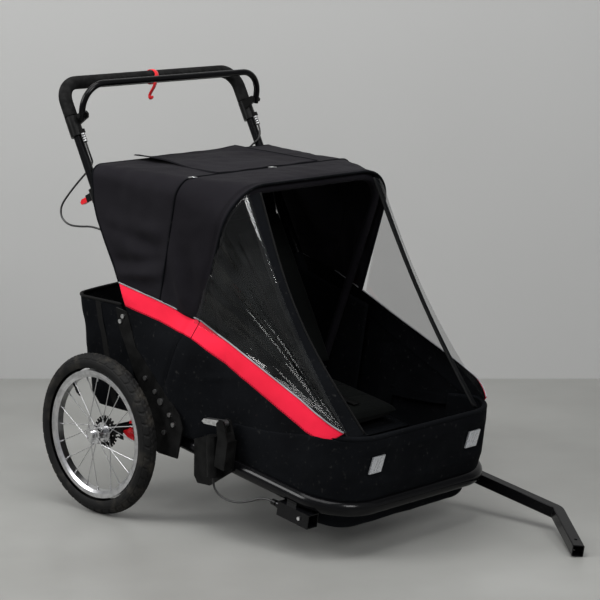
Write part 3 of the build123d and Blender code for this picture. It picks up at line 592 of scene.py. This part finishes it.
sides, bands = {}, {}
for name, side in SIDES:
    def lower_shape(u, v, side=side):
        q = 4 + (690 - 4) * u
        low, top = side_low(q), table(BAND_LOW, q)
        z = min(low, top) + (max(top - low, 0)) * v
        return side_point(q, z, side)

    def band_shape(u, v, side=side, inside=0.0):
        q_low = 4 + (668 - 4) * u
        q_top = -24 + (700 + 24) * u
        q = q_low + (q_top - q_low) * v
        z = table(BAND_LOW, q_low) * (1 - v) + (table(BAND_TOP, q_top) + 0.8 * inside) * v
        return side_point(q, z, side, 1.2 * math.sin(math.pi * v) - inside)

    sides[name] = piece(f"side_cloth_{name}", *patch(lower_shape, 190, 44), slot="black_cloth",
                        replaces=[f"side_panel_{name}"], thick=0.0014)
    bands[name] = piece(f"red_band_{name}", *patch(band_shape, 180, 10), slot="red_cord", material=red_cloth,
                        thick=0.0012)
    piece(f"band_lining_{name}", *patch(lambda u, v: band_shape(u, v, inside=2.4), 120, 6),
          slot="black_cloth")
    top_line = [band_shape(k / 200, 1) for k in range(201)]
    top_line = [(x, y + side * 1.5, z + 1) for x, y, z in top_line]
    low_line = [band_shape(k / 200, 0.0) for k in range(201)]
    piece(f"band_piping_{name}", *tube(top_line, 1.9, 7), slot="black_cloth", material=silver_thread)
    thread = [(x, y + side * 1.4, z + 3.0) for x, y, z in low_line]
    seam = [side_point(196 - (510 - z) * 0.22, z, side, 0.6) for z in range(510, 352, -4)]
    join = [band_shape(0.352 - 0.022 * k / 10, 1 - k / 10) for k in range(11)]
    join = [(x, y + side * 0.9, z) for x, y, z in join]
    piece(f"side_seams_{name}", *joined(stitches(thread), tube(seam, 1.3, 6), tube(join, 0.8, 6)),
          slot="black_cloth")

# ---------------------------------------------------------------- front skirt and its rim
SKIRT_START = 369.0


def skirt_place(t):
    """(q, side) at share t round the skirt, right to left."""
    q = SKIRT_START + (MIDDLE - SKIRT_START) * (1 - abs(2 * t - 1))
    return q, (-1 if t <= 0.5 else 1)


def skirt_swell(q, side, z):
    top = table(HEM, q)
    t = (z - BASE_TOP) / (top - BASE_TOP)
    edge = hump(t, 0.6)
    front = bell(q, MIDDLE, 190)
    belly = (4 + 5 * front) * edge
    ridge = 3.0 * bell(z, 300, 10) * front + 2.0 * bell(z, 385, 8) * front
    soft = 2.4 * rough(q * side, 9, z, 60, 2.0) + 1.2 * rough(q * side, 2, z, 24, 6.0)
    total = 1.5 + belly + ridge + soft * edge
    lamp_q = MIDDLE - 172
    flush = smooth(1.6 - abs(q - lamp_q) / 34) * smooth(1.7 - abs(z - 351) / 26)
    return total * (1 - flush) - 0.9 * flush


def skirt_shape(u, v):
    q, side = skirt_place(u)
    z = BASE_TOP + (table(HEM, q) - BASE_TOP) * v
    x, y = plan(q, side, skirt_swell(q, side, z))
    return (x, y, z)


skirt = piece("front_skirt", *patch(skirt_shape, 240, 26), slot="black_cloth", replaces=["front_panel"],
              thick=0.0016, folds=False)


def rim_at(t, inset, up):
    q, side = skirt_place(t)
    x, y = plan(q, side, 2.0 - inset)
    return (x, y, table(HEM, q) + up)


rim_points = [rim_at(0.22 + 0.56 * k / 200, 5, 1) for k in range(201)]
rim = tube(rim_points, lambda t: 4 + 3 * min(1, 9 * min(t, 1 - t)), 14)
piece("front_rim", *rim, slot="black_cloth", folds=False)
hem_line = [rim_at(k / 300, -0.4, -9) for k in range(301)]
piece("skirt_stitches", *joined(stitches(hem_line), stitches([(x, y, z - 5) for x, y, z in hem_line])),
      slot="black_cloth", material=FINISHES["webbing"], folds=False)


def inner_wall(u, v):
    q, side = skirt_place(0.16 + 0.68 * u)
    x, y = plan(q, side, -4.4 + 0.5 * rough(q * side, 0, v * 150, 50, 8.0))
    return (x, y, 264 + (table(HEM, q) - 260) * v)


wall_lining = piece("front_wall_lining", *patch(inner_wall, 120, 14), slot="black_cloth", folds=False,
                    thick=0.001)

# ---------------------------------------------------------------- the hoop's cloth sleeve
HOOP_FOOT, HOOP_TOP, HOOP_Y, HOOP_CORNER = (153, 346), (262, 876), 266.0, 95.0
hoop_line = []
hoop_rise = math.hypot(HOOP_TOP[0] - HOOP_FOOT[0], HOOP_TOP[1] - HOOP_FOOT[1])
for k in range(121):
    t = k / 120
    half_t = from_foot(t)
    if half_t < 0.5:
        height, out = (hoop_rise - HOOP_CORNER) * half_t / 0.5, HOOP_Y
    elif half_t < 0.7:
        turn = (half_t - 0.5) / 0.2 * math.pi / 2
        height = hoop_rise - HOOP_CORNER * (1 - math.sin(turn))
        out = HOOP_Y - HOOP_CORNER * (1 - math.cos(turn))
    else:
        height, out = hoop_rise, (HOOP_Y - HOOP_CORNER) * (1 - (half_t - 0.7) / 0.3)
    x, z = lerp(HOOP_FOOT, HOOP_TOP, height / hoop_rise)
    hoop_line.append((x, -out if t <= 0.5 else out, z))
piece("hoop_sleeve", *tube(hoop_line, lambda t: 10.4 + 0.5 * math.sin(t * 190) * math.sin(t * 37), 12),
      slot="charcoal_cloth", body="front_hoop", folds=False)

# ---------------------------------------------------------------- windows and pillars
PILLAR_TURN = math.radians(30)
FILM_FOLDS = (
    # place along the top edge, width, height, slant
    (0.13, 0.03, 4, 0.10), (0.29, 0.05, -5, 0.14), (0.46, 0.024, 6, 0.08), (0.58, 0.03, -6, 0.1),
    (0.68, 0.016, 7, 0.05), (0.76, 0.018, -6, 0.03), (0.86, 0.014, 6, 0.0),
)
for name, side in SIDES:
    foot = (694, side * 246, 427)

    def window_edge(t, side=side):
        u = 0.285 * t if side < 0 else 1 - 0.285 * t
        x, y, z = bow(FRONT_BOW, u, 1.5)
        return (x, y, z)

    def film_shape(u, v, side=side, foot=foot):
        x, y, z = lerp(window_edge(u), foot, v)
        slack = 25 * u * u * math.sin(math.pi * v)
        x, z = x - 0.714 * slack, z - 0.70 * slack
        low_x, low_y, low_z = lerp(window_edge(0), foot, v)
        wall_x, wall_y = plan(min(low_x, 691), side, -2.5)
        share = (1 - u) ** 2
        return (x + (wall_x - low_x) * share, y + (wall_y - low_y) * share,
                z + (table(BAND_TOP, low_x) - 4 - low_z) * share)

    def film_swell(u, v, side=side):
        taut, across = hump(v, 0.8), hump(u, 0.7)
        folds = 0.0
        slack = 1.25 if side < 0 else 0.1
        for middle, width, height, slant in FILM_FOLDS:
            folds += height * bell(u, middle + slant * v, width) * (1 - v) ** 1.4
        bulge = 13 * taut * across
        loose = (0.35 + taut) * folds + 2.0 * rough(u * 300, v * 200, side, 40, 2.0)
        return -side * (bulge + slack * across * loose)

    piece(f"window_film_{name}", *patch(film_shape, 90, 60, film_swell), slot="clear_film",
                        replaces=[f"side_window_{name}"], thick=0.0005)

    def pillar_shape(u, v, side=side):
        top = (283, side * 214, 872)
        low = (697, side * 212, 412)
        x, y, z = lerp(low, top, v)
        y += side * 11 * math.sin(math.pi * v)
        bow_out = -27 * math.sin(math.pi * v)
        turn = 2 * math.pi * u
        width = 15.5 + 2.5 * math.cos(2 * math.pi * v) + 2 * (1 - v)
        a = math.copysign(abs(math.cos(turn)) ** 0.8, math.cos(turn)) * width
        b = math.sin(turn) * 2.6
        wide = math.cos(PILLAR_TURN) * a + side * math.sin(PILLAR_TURN) * b
        out = math.cos(PILLAR_TURN) * b - side * math.sin(PILLAR_TURN) * a + bow_out
        return (x + 0.74 * out, y + wide, z + 0.67 * out)

    pillar = patch(pillar_shape, 28, 60, lambda u, v: 0.8 * rough(u * 90, v * 500, 1, 30))
    piece(f"pillar_cloth_{name}", *pillar, slot="black_cloth", replaces=[f"front_pillar_{name}"])
    bead = []
    for edge_u in (0.0, 0.5):
        bead.append(tube([pillar_shape(edge_u, k / 60) for k in range(61)], 2.6, 7))
    for edge_u in (0.11, 0.39):
        bead.append(stitches([pillar_shape(edge_u, k / 60) for k in range(61)], lift=(0.5, 0, 0.4)))
    piece(f"pillar_piping_{name}", *joined(*bead), slot="black_cloth", material=FINISHES["webbing"])

# ---------------------------------------------------------------- rear panel, trunk bag and footwell
REAR_HALF = 284.5
REAR_LINE = ((-158, 812), (-105, 690), (-50, 566), (-22, 506), (80, 396), (84, 300))


def rear_shape(u, v):
    share = v * (len(REAR_LINE) - 1)
    k = min(int(share), len(REAR_LINE) - 2)
    x, z = lerp(REAR_LINE[k], REAR_LINE[k + 1], share - k)
    return (x, -REAR_HALF + 2 * REAR_HALF * u, z)


def rear_swell(u, v):
    x, y, z = rear_shape(u, v)
    edge = max(math.sin(math.pi * u) * math.sin(math.pi * v), 0) ** 0.5
    return edge * (4 * rough(x, y, z, 110, 1.0) + 2 * rough(x, y, z, 40, 3.0))


rear_wall = piece("rear_cloth", *patch(rear_shape, 70, 60, rear_swell), slot="black_cloth",
                  replaces=["rear_panel"], thick=0.0014)

BAG_HALF, BAG_CORNER, BAG_LOW_REAR, BAG_LOW_DEEP = 274.0, 30.0, -114, 170
BAG_REAR_X = ((0, -114), (0.08, -143), (0.45, -169), (1, -219))
BAG_REAR_Z = ((0, 229), (0.08, 250), (0.45, 345), (1, 481))


def bag_ring(v):
    """(rear x, front x, rear z, front z) of the bag at height share v."""
    return table(BAG_REAR_X, v), 56 - 110 * v, table(BAG_REAR_Z, v), 254 + 252 * v


def bag_shape(u, v):
    rear_x, front_x, rear_z, front_z = bag_ring(v)
    deep, bend = front_x - rear_x, BAG_CORNER * math.pi / 2
    runs = [deep - BAG_CORNER, bend, 2 * (BAG_HALF - BAG_CORNER), bend, deep - BAG_CORNER]
    place = u * sum(runs)
    turned_x, turned_y = rear_x + BAG_CORNER, BAG_HALF - BAG_CORNER
    if place <= runs[0]:
        x, y = front_x - place, -BAG_HALF
    elif place <= sum(runs[:2]):
        turn = (place - runs[0]) / BAG_CORNER
        x, y = turned_x - BAG_CORNER * math.sin(turn), -turned_y - BAG_CORNER * math.cos(turn)
    elif place <= sum(runs[:3]):
        x, y = rear_x, -turned_y + place - sum(runs[:2])
    elif place <= sum(runs[:4]):
        turn = (place - sum(runs[:3])) / BAG_CORNER
        x, y = turned_x - BAG_CORNER * math.cos(turn), turned_y + BAG_CORNER * math.sin(turn)
    else:
        x, y = turned_x + place - sum(runs[:4]), BAG_HALF
    z = rear_z + (front_z - rear_z) * (x - rear_x) / deep
    behind = smooth(1 - (x - rear_x) / 60)
    slump = 34 * v * math.cos(math.pi * y / (2 * BAG_HALF)) ** 0.7 if abs(y) < BAG_HALF else 0
    return (x - slump * behind, y, z)


def bag_swell(u, v):
    x, y, z = bag_shape(u, v)
    edge = math.sin(math.pi * min(v * 0.96 + 0.02, 1)) ** 0.6
    folds = 3.5 * math.sin((y + 0.4 * z) / 21.0) * bell(v, 0.3, 0.25)
    folds += 3 * math.sin((x - 0.3 * z) / 15) * bell(v, 0.6, 0.3)
    return -edge * (2 + 5 * rough(x, y, z, 90, 4.0) + 2.4 * rough(x, y, z, 34, 1.0) + folds * 0.6)


bag_walls = patch(bag_shape, 150, 34, bag_swell)


def bag_floor(u, v):
    x = BAG_LOW_REAR + BAG_LOW_DEEP * v
    half = BAG_HALF - BAG_CORNER * bell(x, BAG_LOW_REAR, 12)
    return (x, -half + 2 * half * u, 229 + 25 * v - 4 * math.sin(math.pi * u) * math.sin(math.pi * v))


trunk = piece("trunk_bag_cloth", *joined(bag_walls, patch(bag_floor, 40, 14)), slot="black_cloth",
              replaces=["trunk_bag"], thick=0.0014)
bag_rim = [bag_shape(k / 150, 1) for k in range(151)]
webs = []
for strap_u in (0.1, 0.35, 0.65, 0.9):
    def web_shape(u, v, at=strap_u):
        return bag_shape(at + (u - 0.5) * 0.022, 0.02 + 0.97 * v)

    def web_swell(u, v, at=strap_u):
        return bag_swell(at, 0.02 + 0.97 * v) - 1.8

    webs.append(patch(web_shape, 3, 24, web_swell))
piece("trunk_bag_rim", *joined(tube(bag_rim, 4.0, 8), *webs), slot="webbing")

TUB_Y, TUB_R, TUB_FRONT, TUB_REAR, TUB_BEND = 257.0, 88.0, 708.0, 448.0, 26
TUB_FLOOR = ((448, 228), (540, 218), (640, 182), (708, 180))


def tub_plan(u, inset):
    straight = TUB_FRONT - TUB_R - TUB_REAR
    bend = TUB_R * math.pi / 2
    front = 2 * (TUB_Y - TUB_R)
    runs = [straight, bend, front, bend, straight]
    place = u * sum(runs)
    far, radius = TUB_FRONT - inset, TUB_R - inset
    if place <= runs[0]:
        return TUB_REAR + place, -(TUB_Y - inset)
    if place <= sum(runs[:2]):
        turn = (place - runs[0]) / TUB_R
        return (far - radius + radius * math.sin(turn), -(TUB_Y - TUB_R) - radius * math.cos(turn))
    if place <= sum(runs[:3]):
        return far, -(TUB_Y - TUB_R) + place - sum(runs[:2])
    if place <= sum(runs[:4]):
        turn = (place - sum(runs[:3])) / TUB_R
        return (far - radius + radius * math.cos(turn), (TUB_Y - TUB_R) + radius * math.sin(turn))
    return TUB_FRONT - TUB_R - (place - sum(runs[:4])), TUB_Y - inset


def tub_wall(u, v):
    turn = max(0.0, (v - 0.45) / 0.55) * math.pi / 2
    inset = TUB_BEND * (1 - math.cos(turn))
    x, y = tub_plan(u, inset)
    floor = table(TUB_FLOOR, x)
    shoulder = floor + TUB_BEND
    z = BASE_TOP - (BASE_TOP - shoulder) * min(v / 0.45, 1) - TUB_BEND * math.sin(turn)
    return (x, y, z + 2.5 * math.sin(math.pi * v) * rough(x, y, z, 50, 2.0))


def tub_floor(u, v):
    x = TUB_REAR + (TUB_FRONT - TUB_BEND - TUB_REAR) * v
    over = max(x - (TUB_FRONT - TUB_R), 0)
    half = TUB_Y - TUB_R + math.sqrt(max((TUB_R - TUB_BEND) ** 2 - over**2, 0))
    y = -half + 2 * half * u
    z = table(TUB_FLOOR, x) - 5 * math.sin(math.pi * u) * math.sin(math.pi * v)
    return (x, y, z + 1.5 * rough(x, y, 0, 60, 5.0) * math.sin(math.pi * u))


def tub_back(u, v):
    return (TUB_REAR, -TUB_Y + 2 * TUB_Y * u, BASE_TOP + (TUB_FLOOR[0][1] - BASE_TOP) * v)


tub = joined(patch(tub_wall, 130, 18), patch(tub_floor, 50, 30), patch(tub_back, 30, 3))
footwell = piece("footwell_cloth", *tub, slot="black_cloth", replaces=["footwell"], folds=False, thick=0.0016)

CABIN_REAR, CABIN_FRONT, CABIN_HALF = 86, 452, 279
FLOOR_LINE = ((86, 300), (158, 280), (300, 271), (452, 267))
CABIN_BACK = ((272, 86), (300, 86), (396, 82), (506, -20), (566, -48))


def cabin_floor(u, v):
    x = CABIN_REAR + (CABIN_FRONT - CABIN_REAR) * v
    return (x, -CABIN_HALF + 2 * CABIN_HALF * u, table(FLOOR_LINE, x))


def cabin_side(u, v, side):
    z = 272 + (290 - 34 * u) * v
    back = table(CABIN_BACK, z)
    return (back + (262 - back) * u, side * 281, z)


cabin_base = piece("cabin_floor_cloth", *patch(cabin_floor, 40, 30), slot="black_cloth", folds=False,
                   thick=0.0014)
for name, side in SIDES:
    lining = patch(lambda u, v, side=side: cabin_side(u, v, side), 20, 24)
    piece(f"cabin_side_cloth_{name}", *lining, slot="black_cloth", thick=0.0014)

# ---------------------------------------------------------------- seats and harnesses
LEAN = Vector((-0.5997, 0, 0.8002))
LEAN_OUT = Vector((0.8002, 0, 0.5997))
FOLD = Vector((165, 0, 334))


def along(s, n, y):
    return tuple(FOLD + LEAN * s + LEAN_OUT * n + Vector((0, y, 0)))


def cushion(place, length, width, thick, ribs):
    """A quilted pad; place(a, b, c) puts its own coordinates in the level frame."""
    parts = []
    for face in (1, -1):
        def shape(u, v, face=face):
            a, b = 2 * u - 1, 2 * v - 1
            rim = ((1 - abs(a) ** 8) * (1 - abs(b) ** 8)) ** 0.4
            dip = 1.0
            for middle in (-0.5, 0.5):
                dip += 0.10 * bell(b, middle, 0.3)
            quilt = 0.22 * bell(b, 0, 0.035)
            for rib in ribs:
                quilt += 0.2 * bell(a, rib, 0.02)
            quilt += 0.06 * rough(a * 200, b * 240, face, 45, 1.0)
            height = face * thick / 2 * rim * (dip - quilt * (1 if face > 0 else 0.3))
            return place(a * length / 2, b * width / 2, height)

        verts, faces = patch(shape, 70, 90)
        parts.append((verts, faces if face < 0 else [tuple(reversed(f)) for f in faces]))
    return joined(*parts)


back_pad = cushion(lambda a, b, c: along(211 + a, 30 + c, b), 407, 500, 32, (-0.55, -0.18, 0.2, 0.56))
seat_back = piece("seat_back_pad", *back_pad, slot="seat_cloth", replaces=["seat_back"])
base_pad = cushion(lambda a, b, c: (310 + a, b, 305 + c), 238, 500, 42, (-0.35, 0.3))
seat_base = piece("seat_base_pad", *base_pad, slot="seat_cloth", replaces=["seat_base"], keep=0.6)


def upright_lining(u, v, side):
    """A cloth cover over the inner half of an upright, inside the cabin."""
    turn = math.radians(-105 + 210 * u)
    ease = 15.4 + 0.5 * math.sin(v * 60) * math.sin(v * 17)
    return along(24 + 282 * v, math.sin(turn) * ease, side * (300 - math.cos(turn) * ease))


for name, side in SIDES:
    piece(f"upright_lining_{name}", *patch(lambda u, v, side=side: upright_lining(u, v, side), 14, 60),
          slot="black_cloth", body="rear_frame", folds=False)


def strap(points, width, thick=1.6):
    """A flat webbing strip along level points, with its width along y."""
    line = smooth_line(points, 8)
    verts, faces = [], []
    for index, point in enumerate(line):
        before, after = line[max(index - 1, 0)], line[min(index + 1, len(line) - 1)]
        run = (after - before).normalized()
        wide = Vector((0, 1, 0))
        wide = (wide - run * wide.dot(run)).normalized()
        out = run.cross(wide)
        for a, b in ((-1, -1), (1, -1), (1, 1), (-1, 1)):
            verts.append(tuple(point + wide * (a * width / 2) + out * (b * thick / 2)))
        if index:
            old, new = (index - 1) * 4, index * 4
            for k in range(4):
                faces.append((old + k, old + (k + 1) % 4, new + (k + 1) % 4, new + k))
    faces.append((3, 2, 1, 0))
    last = (len(line) - 1) * 4
    faces.append((last, last + 1, last + 2, last + 3))
    return verts, faces


belts, buckles = [], []
for seat in (-125, 125):
    for off in (-48, 48):
        belts.append(strap([along(372, 47, seat + off), along(300, 50, seat + off * 0.95),
                            along(200, 49, seat + off * 0.8), along(110, 52, seat + off * 0.45),
                            along(62, 62, seat + off * 0.2)], 24, 1.8))
    belts.append(strap([(402, seat, 333), (350, seat, 333), (300, seat, 338), (262, seat, 344),
                        (228, seat, 356)], 24, 1.8))
    centre = Vector((205, seat, 372))

    def buckle_shape(u, v, centre=centre):
        a, b = math.pi * (v - 0.5), 2 * math.pi * u
        squared = 0.55
        cb, sb = math.cos(b), math.sin(b)
        ring = math.copysign(abs(cb) ** squared, cb), math.copysign(abs(sb) ** squared, sb)
        girth = abs(math.cos(a)) ** squared
        raised = math.copysign(abs(math.sin(a)) ** 0.7, math.sin(a))
        local = (ring[0] * girth * 17, ring[1] * girth * 21, raised * 7)
        return tuple(centre + LEAN * local[0] + Vector((0, 1, 0)) * local[1] + LEAN_OUT * local[2])

    buckles.append(patch(buckle_shape, 28, 16))
piece("harness_belts", *joined(*belts), slot="webbing", replaces=["harness"])
piece("harness_buckles", *joined(*buckles), slot="black_plastic")

# ---------------------------------------------------------------- wrist strap on the grip
grip = Vector(along(828, 0, 6))
ring = []
for k in range(40):
    turn = 2 * math.pi * k / 40
    ring.append(grip + Vector((18.6 * math.cos(turn), 2.5 * math.sin(turn + 0.6), 18.6 * math.sin(turn))))
tail = [grip + Vector(step) for step in
        ((16, 0, 9), (19, -2, -6), (20, -7, -21), (18.5, -14, -35), (17.5, -17, -45))]
loop = strap([*ring, ring[0], ring[1]], 11, 1.5)
knot_line = [grip + Vector(step) for step in ((17.5, -18, -44), (18, -13, -50), (18.5, -5, -47))]
knot = tube(smooth_line(knot_line, 5), lambda t: 2.5 + 2.5 * math.sin(math.pi * t), 8)
piece("wrist_strap_webbing", *joined(loop, strap(tail, 10, 1.5), knot), slot="red_cord", body="handle",
      replaces=["wrist_strap"], folds=False)

# ---------------------------------------------------------------- tyres, nipples and valves
for name, side in SIDES:
    hub = Vector((0, side * WHEEL_Y, AXLE_Z))

    def tyre_shape(u, v, side=side, hub=hub):
        turn = 2 * math.pi * u
        a = math.radians(-128 + 256 * v)
        deg = abs(math.degrees(a))
        radius = 21.6
        blocks = 0.0
        if deg < 66:
            lane = u * 44 + 0.5 * (a > 0)
            bent = lane + 0.30 * math.sin(math.radians(deg) * 2.6)
            gap = abs(bent - math.floor(bent) - 0.5)
            if deg > 22:
                blocks = -1.9 if gap > 0.40 else 0.0
                if deg > 60:
                    blocks = -1.2
            elif deg > 17:
                blocks = -1.9
            else:
                sipe = u * 88 + 0.35 * math.sin(a * 7)
                blocks = -1.2 if abs(sipe - math.floor(sipe) - 0.5) > 0.42 else 0.3
        elif deg < 84:
            wave = math.sin(2 * math.pi * u * 44)
            blocks = 0.5 * max(0, wave) * bell(deg, 72, 7) - 0.4
        w = side * (radius + blocks) * math.sin(a)
        r = 178 + (radius + blocks) * math.cos(a)
        return (hub.x + r * math.cos(turn), hub.y + w, hub.z + r * math.sin(turn))

    piece(f"tyre_tread_{name}", *patch(tyre_shape, 616, 60), slot="tyre_rubber", body=f"wheel_{name}",
          replaces=[f"tyre_{name}"], folds=False, sharp=50)
    nipples = []
    for index in range(20):
        turn = math.radians(18 * index + 9)
        flange = 1 if index % 2 else -1
        out = Vector((math.cos(turn), 0, math.sin(turn)))
        start = hub + out * 131 + Vector((0, side * flange * 2.6, 0))
        end = hub + out * 142.6 + Vector((0, side * flange * 2.0, 0))
        nipples.append(tube([start, start.lerp(end, 0.7), end], lambda t: 1.9 + 0.5 * t, 8))
    piece(f"spoke_nipples_{name}", *joined(*nipples), slot="spoke_steel", body=f"wheel_{name}",
          folds=False, sharp=40)
    turn = math.radians(138 if side < 0 else 60)
    out = Vector((math.cos(turn), 0, math.sin(turn)))
    stem = [hub + out * r for r in (143, 136, 135.5, 128, 127.5, 116, 115.5, 108)]
    widths = (4.2, 4.2, 3.6, 3.6, 4.6, 4.6, 3.4, 2.6)
    piece(f"tyre_valve_{name}", *tube(stem, lambda t: widths[round(t * 7)], 12), slot="black_plastic",
          body=f"wheel_{name}", folds=False, sharp=40)

# ---------------------------------------------------------------- small hardware
hardware = []
for name, side in SIDES:
    for s0 in (666, 672, 678, 684):
        hardware.append(tube([along(s0, 21, side * 300), along(s0 + 3.5, 21, side * 300)], 5.3, 12))
piece("cable_adjusters", *joined(*hardware), slot="bolt_steel", body="handle", folds=False, sharp=35)

ribs = []
for name, side in SIDES:
    for off in (-11, -2, 7):
        low, top = side * 172 + off - 5.5, side * 172 + off + 5.5
        ribs.append(strap([(736.6, low, 334), (736.9, top, 368)], 6))
piece("reflector_bars", *joined(*ribs), slot="reflector", folds=False, sharp=35)

pulls = []
for at_u in (0.30, 0.5):
    x, y, z = bow(SEAM_BOW, at_u)
    pulls.append(tube([(x + 3, y - 5, z + 3), (x + 3, y + 5, z + 3)], 3.2, 10, squeeze=0.6))
    pulls.append(tube([(x + 4, y + 4, z + 4), (x + 9, y + 11, z + 3.5), (x + 8, y + 17, z + 2)], 1.6, 8))
piece("zip_pullers", *joined(*pulls), slot="bolt_steel", sharp=50)

# ---------------------------------------------------------------- cables
CABLE_D = 0.005
brake_route = (
    along(664, 21, 300), along(630, 21, 300), (-212, 271, 820), (-248, 281, 769), (-276, 291, 722),
    (-289, 296, 692), (-279, 299, 667), (-247, 300, 657), (-203, 300, 666), (-160, 300, 679),
    (-123, 300, 679),
)
HOUSING_END = (352 + 100 * -forward.z, 322, 314 - 100 * forward.x)
release_route = (
    HOUSING_END, (HOUSING_END[0] - 24 * forward.z, 322, HOUSING_END[2] - 24 * forward.x),
    (396, 321, 177), (426, 318, 174), (457, 312, 180), (484, 302, 193), (509, 290, 209.5),
    (537.7, 290, 209.5),
)


def cable(name, points, node):
    """A cable on the CAD tube's own route, made as one fixed mesh in the row frame in place of the CAD tube."""
    meshes = []
    for thick in (0.0, CABLE_D / 2):
        curve = bpy.data.curves.new(name, "CURVE")
        curve.dimensions = "3D"
        curve.bevel_depth = thick
        curve.bevel_resolution = 4
        curve.resolution_u = 12
        spline = curve.splines.new("NURBS")
        spline.points.add(len(points) - 1)
        for target, point in zip(spline.points, points):
            target.co = (*row(point), 1)
        spline.order_u = 3
        spline.use_endpoint_u = True
        obj = add_object(name, curve)
        bpy.context.view_layer.update()
        evaluated = obj.evaluated_get(bpy.context.evaluated_depsgraph_get())
        meshes.append(bpy.data.meshes.new_from_object(evaluated))
        bpy.data.objects.remove(obj)
    obj = add_object(name, meshes[1])
    paint(obj, black_sleeve)
    obj.data.shade_smooth()
    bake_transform(obj)
    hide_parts(node)


for name, side in SIDES:
    brake_line = [(x, side * y, z) for x, y, z in brake_route]
    release_line = [(x, side * y, z) for x, y, z in release_route]
    cable(f"brake_cable_run_{name}", brake_line, f"brake_cable_{name}")
    cable(f"release_cable_run_{name}", release_line, f"release_cable_{name}")

# ---------------------------------------------------------------- an empty loop over the two sides
for name, side in SIDES:
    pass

# ---------------------------------------------------------------- stage, light and camera
camera_place = Vector((3.5917, -3.8865, 1.4931))
look = Vector((-0.67813, 0.71330, -0.17704)).normalized()
heading = Vector((look.x, look.y, 0)).normalized()


def stage_plane(name, corners, material):
    data = bpy.data.meshes.new(name)
    data.from_pydata([Vector(c) for c in corners], [], [(0, 1, 2, 3)])
    obj = add_object(name, data)
    paint(obj, material)


concrete = solid_material("stage_floor", (0.235, 0.235, 0.222), (0.285, 0.285, 0.272), 0.4, scale=2.2,
                          bump=0.05, bump_scale=60, low_at=0.35, high_at=0.7)
plaster = solid_material("stage_wall", (0.41, 0.41, 0.403), (0.42, 0.42, 0.413), 0.9, scale=1, bump=0.0)
plaster_nodes, plaster_links = plaster.node_tree.nodes, plaster.node_tree.links
facing = plaster_nodes.new("ShaderNodeNewGeometry")
front_only = plaster_nodes.new("ShaderNodeMath")
front_only.operation = "SUBTRACT"
front_only.inputs[0].default_value = 1.0
plaster_links.new(facing.outputs["Backfacing"], front_only.inputs[1])
plaster_links.new(front_only.outputs["Value"], plaster_nodes["Principled BSDF"].inputs["Alpha"])
stage_plane("floor", [(-30, -30, 0), (30, -30, 0), (30, 30, 0), (-30, 30, 0)], concrete)
wall_at = Vector((camera_place.x, camera_place.y, 0)) + heading * 6.9
across = Vector((-heading.y, heading.x, 0))
stage_plane("wall", [wall_at - across * 20, wall_at - across * 20 + Vector((0, 0, 9)),
                     wall_at + across * 20 + Vector((0, 0, 9)), wall_at + across * 20], plaster)


def lamp(name, place, target, size, power):
    data = bpy.data.lights.new(name, "AREA")
    data.shape = "RECTANGLE"
    data.size, data.size_y = size
    data.energy = power
    obj = add_object(name, data)
    obj.location = place
    obj.rotation_mode = "QUATERNION"
    obj.rotation_quaternion = (Vector(target) - Vector(place)).to_track_quat("-Z", "Y")


middle = Vector((0, 0, 0.5))
lamp("overhead", (0.1, -0.9, 3.6), middle, (3.0, 3.0), 108)
lamp("key", (3.3, -0.4, 2.8), middle, (1.2, 1.2), 60)
lamp("left_fill", (-1.9, -3.0, 2.5), middle, (1.6, 1.6), 85)
world = bpy.data.worlds.new("soft_room")
world.use_nodes = True
world.node_tree.nodes["Background"].inputs["Color"].default_value = (0.95, 0.97, 1.0, 1)
world.node_tree.nodes["Background"].inputs["Strength"].default_value = 0.34
bpy.context.scene.world = world
bpy.context.scene.view_settings.view_transform = "Standard"

camera = add_object("camera", bpy.data.cameras.new("camera"))
camera.data.sensor_width = 36
camera.data.lens = 134.15
camera.data.clip_end = 100
camera.location = camera_place
camera.rotation_mode = "QUATERNION"
camera.rotation_quaternion = look.to_track_quat("-Z", "Y")
bpy.context.scene.camera = camera
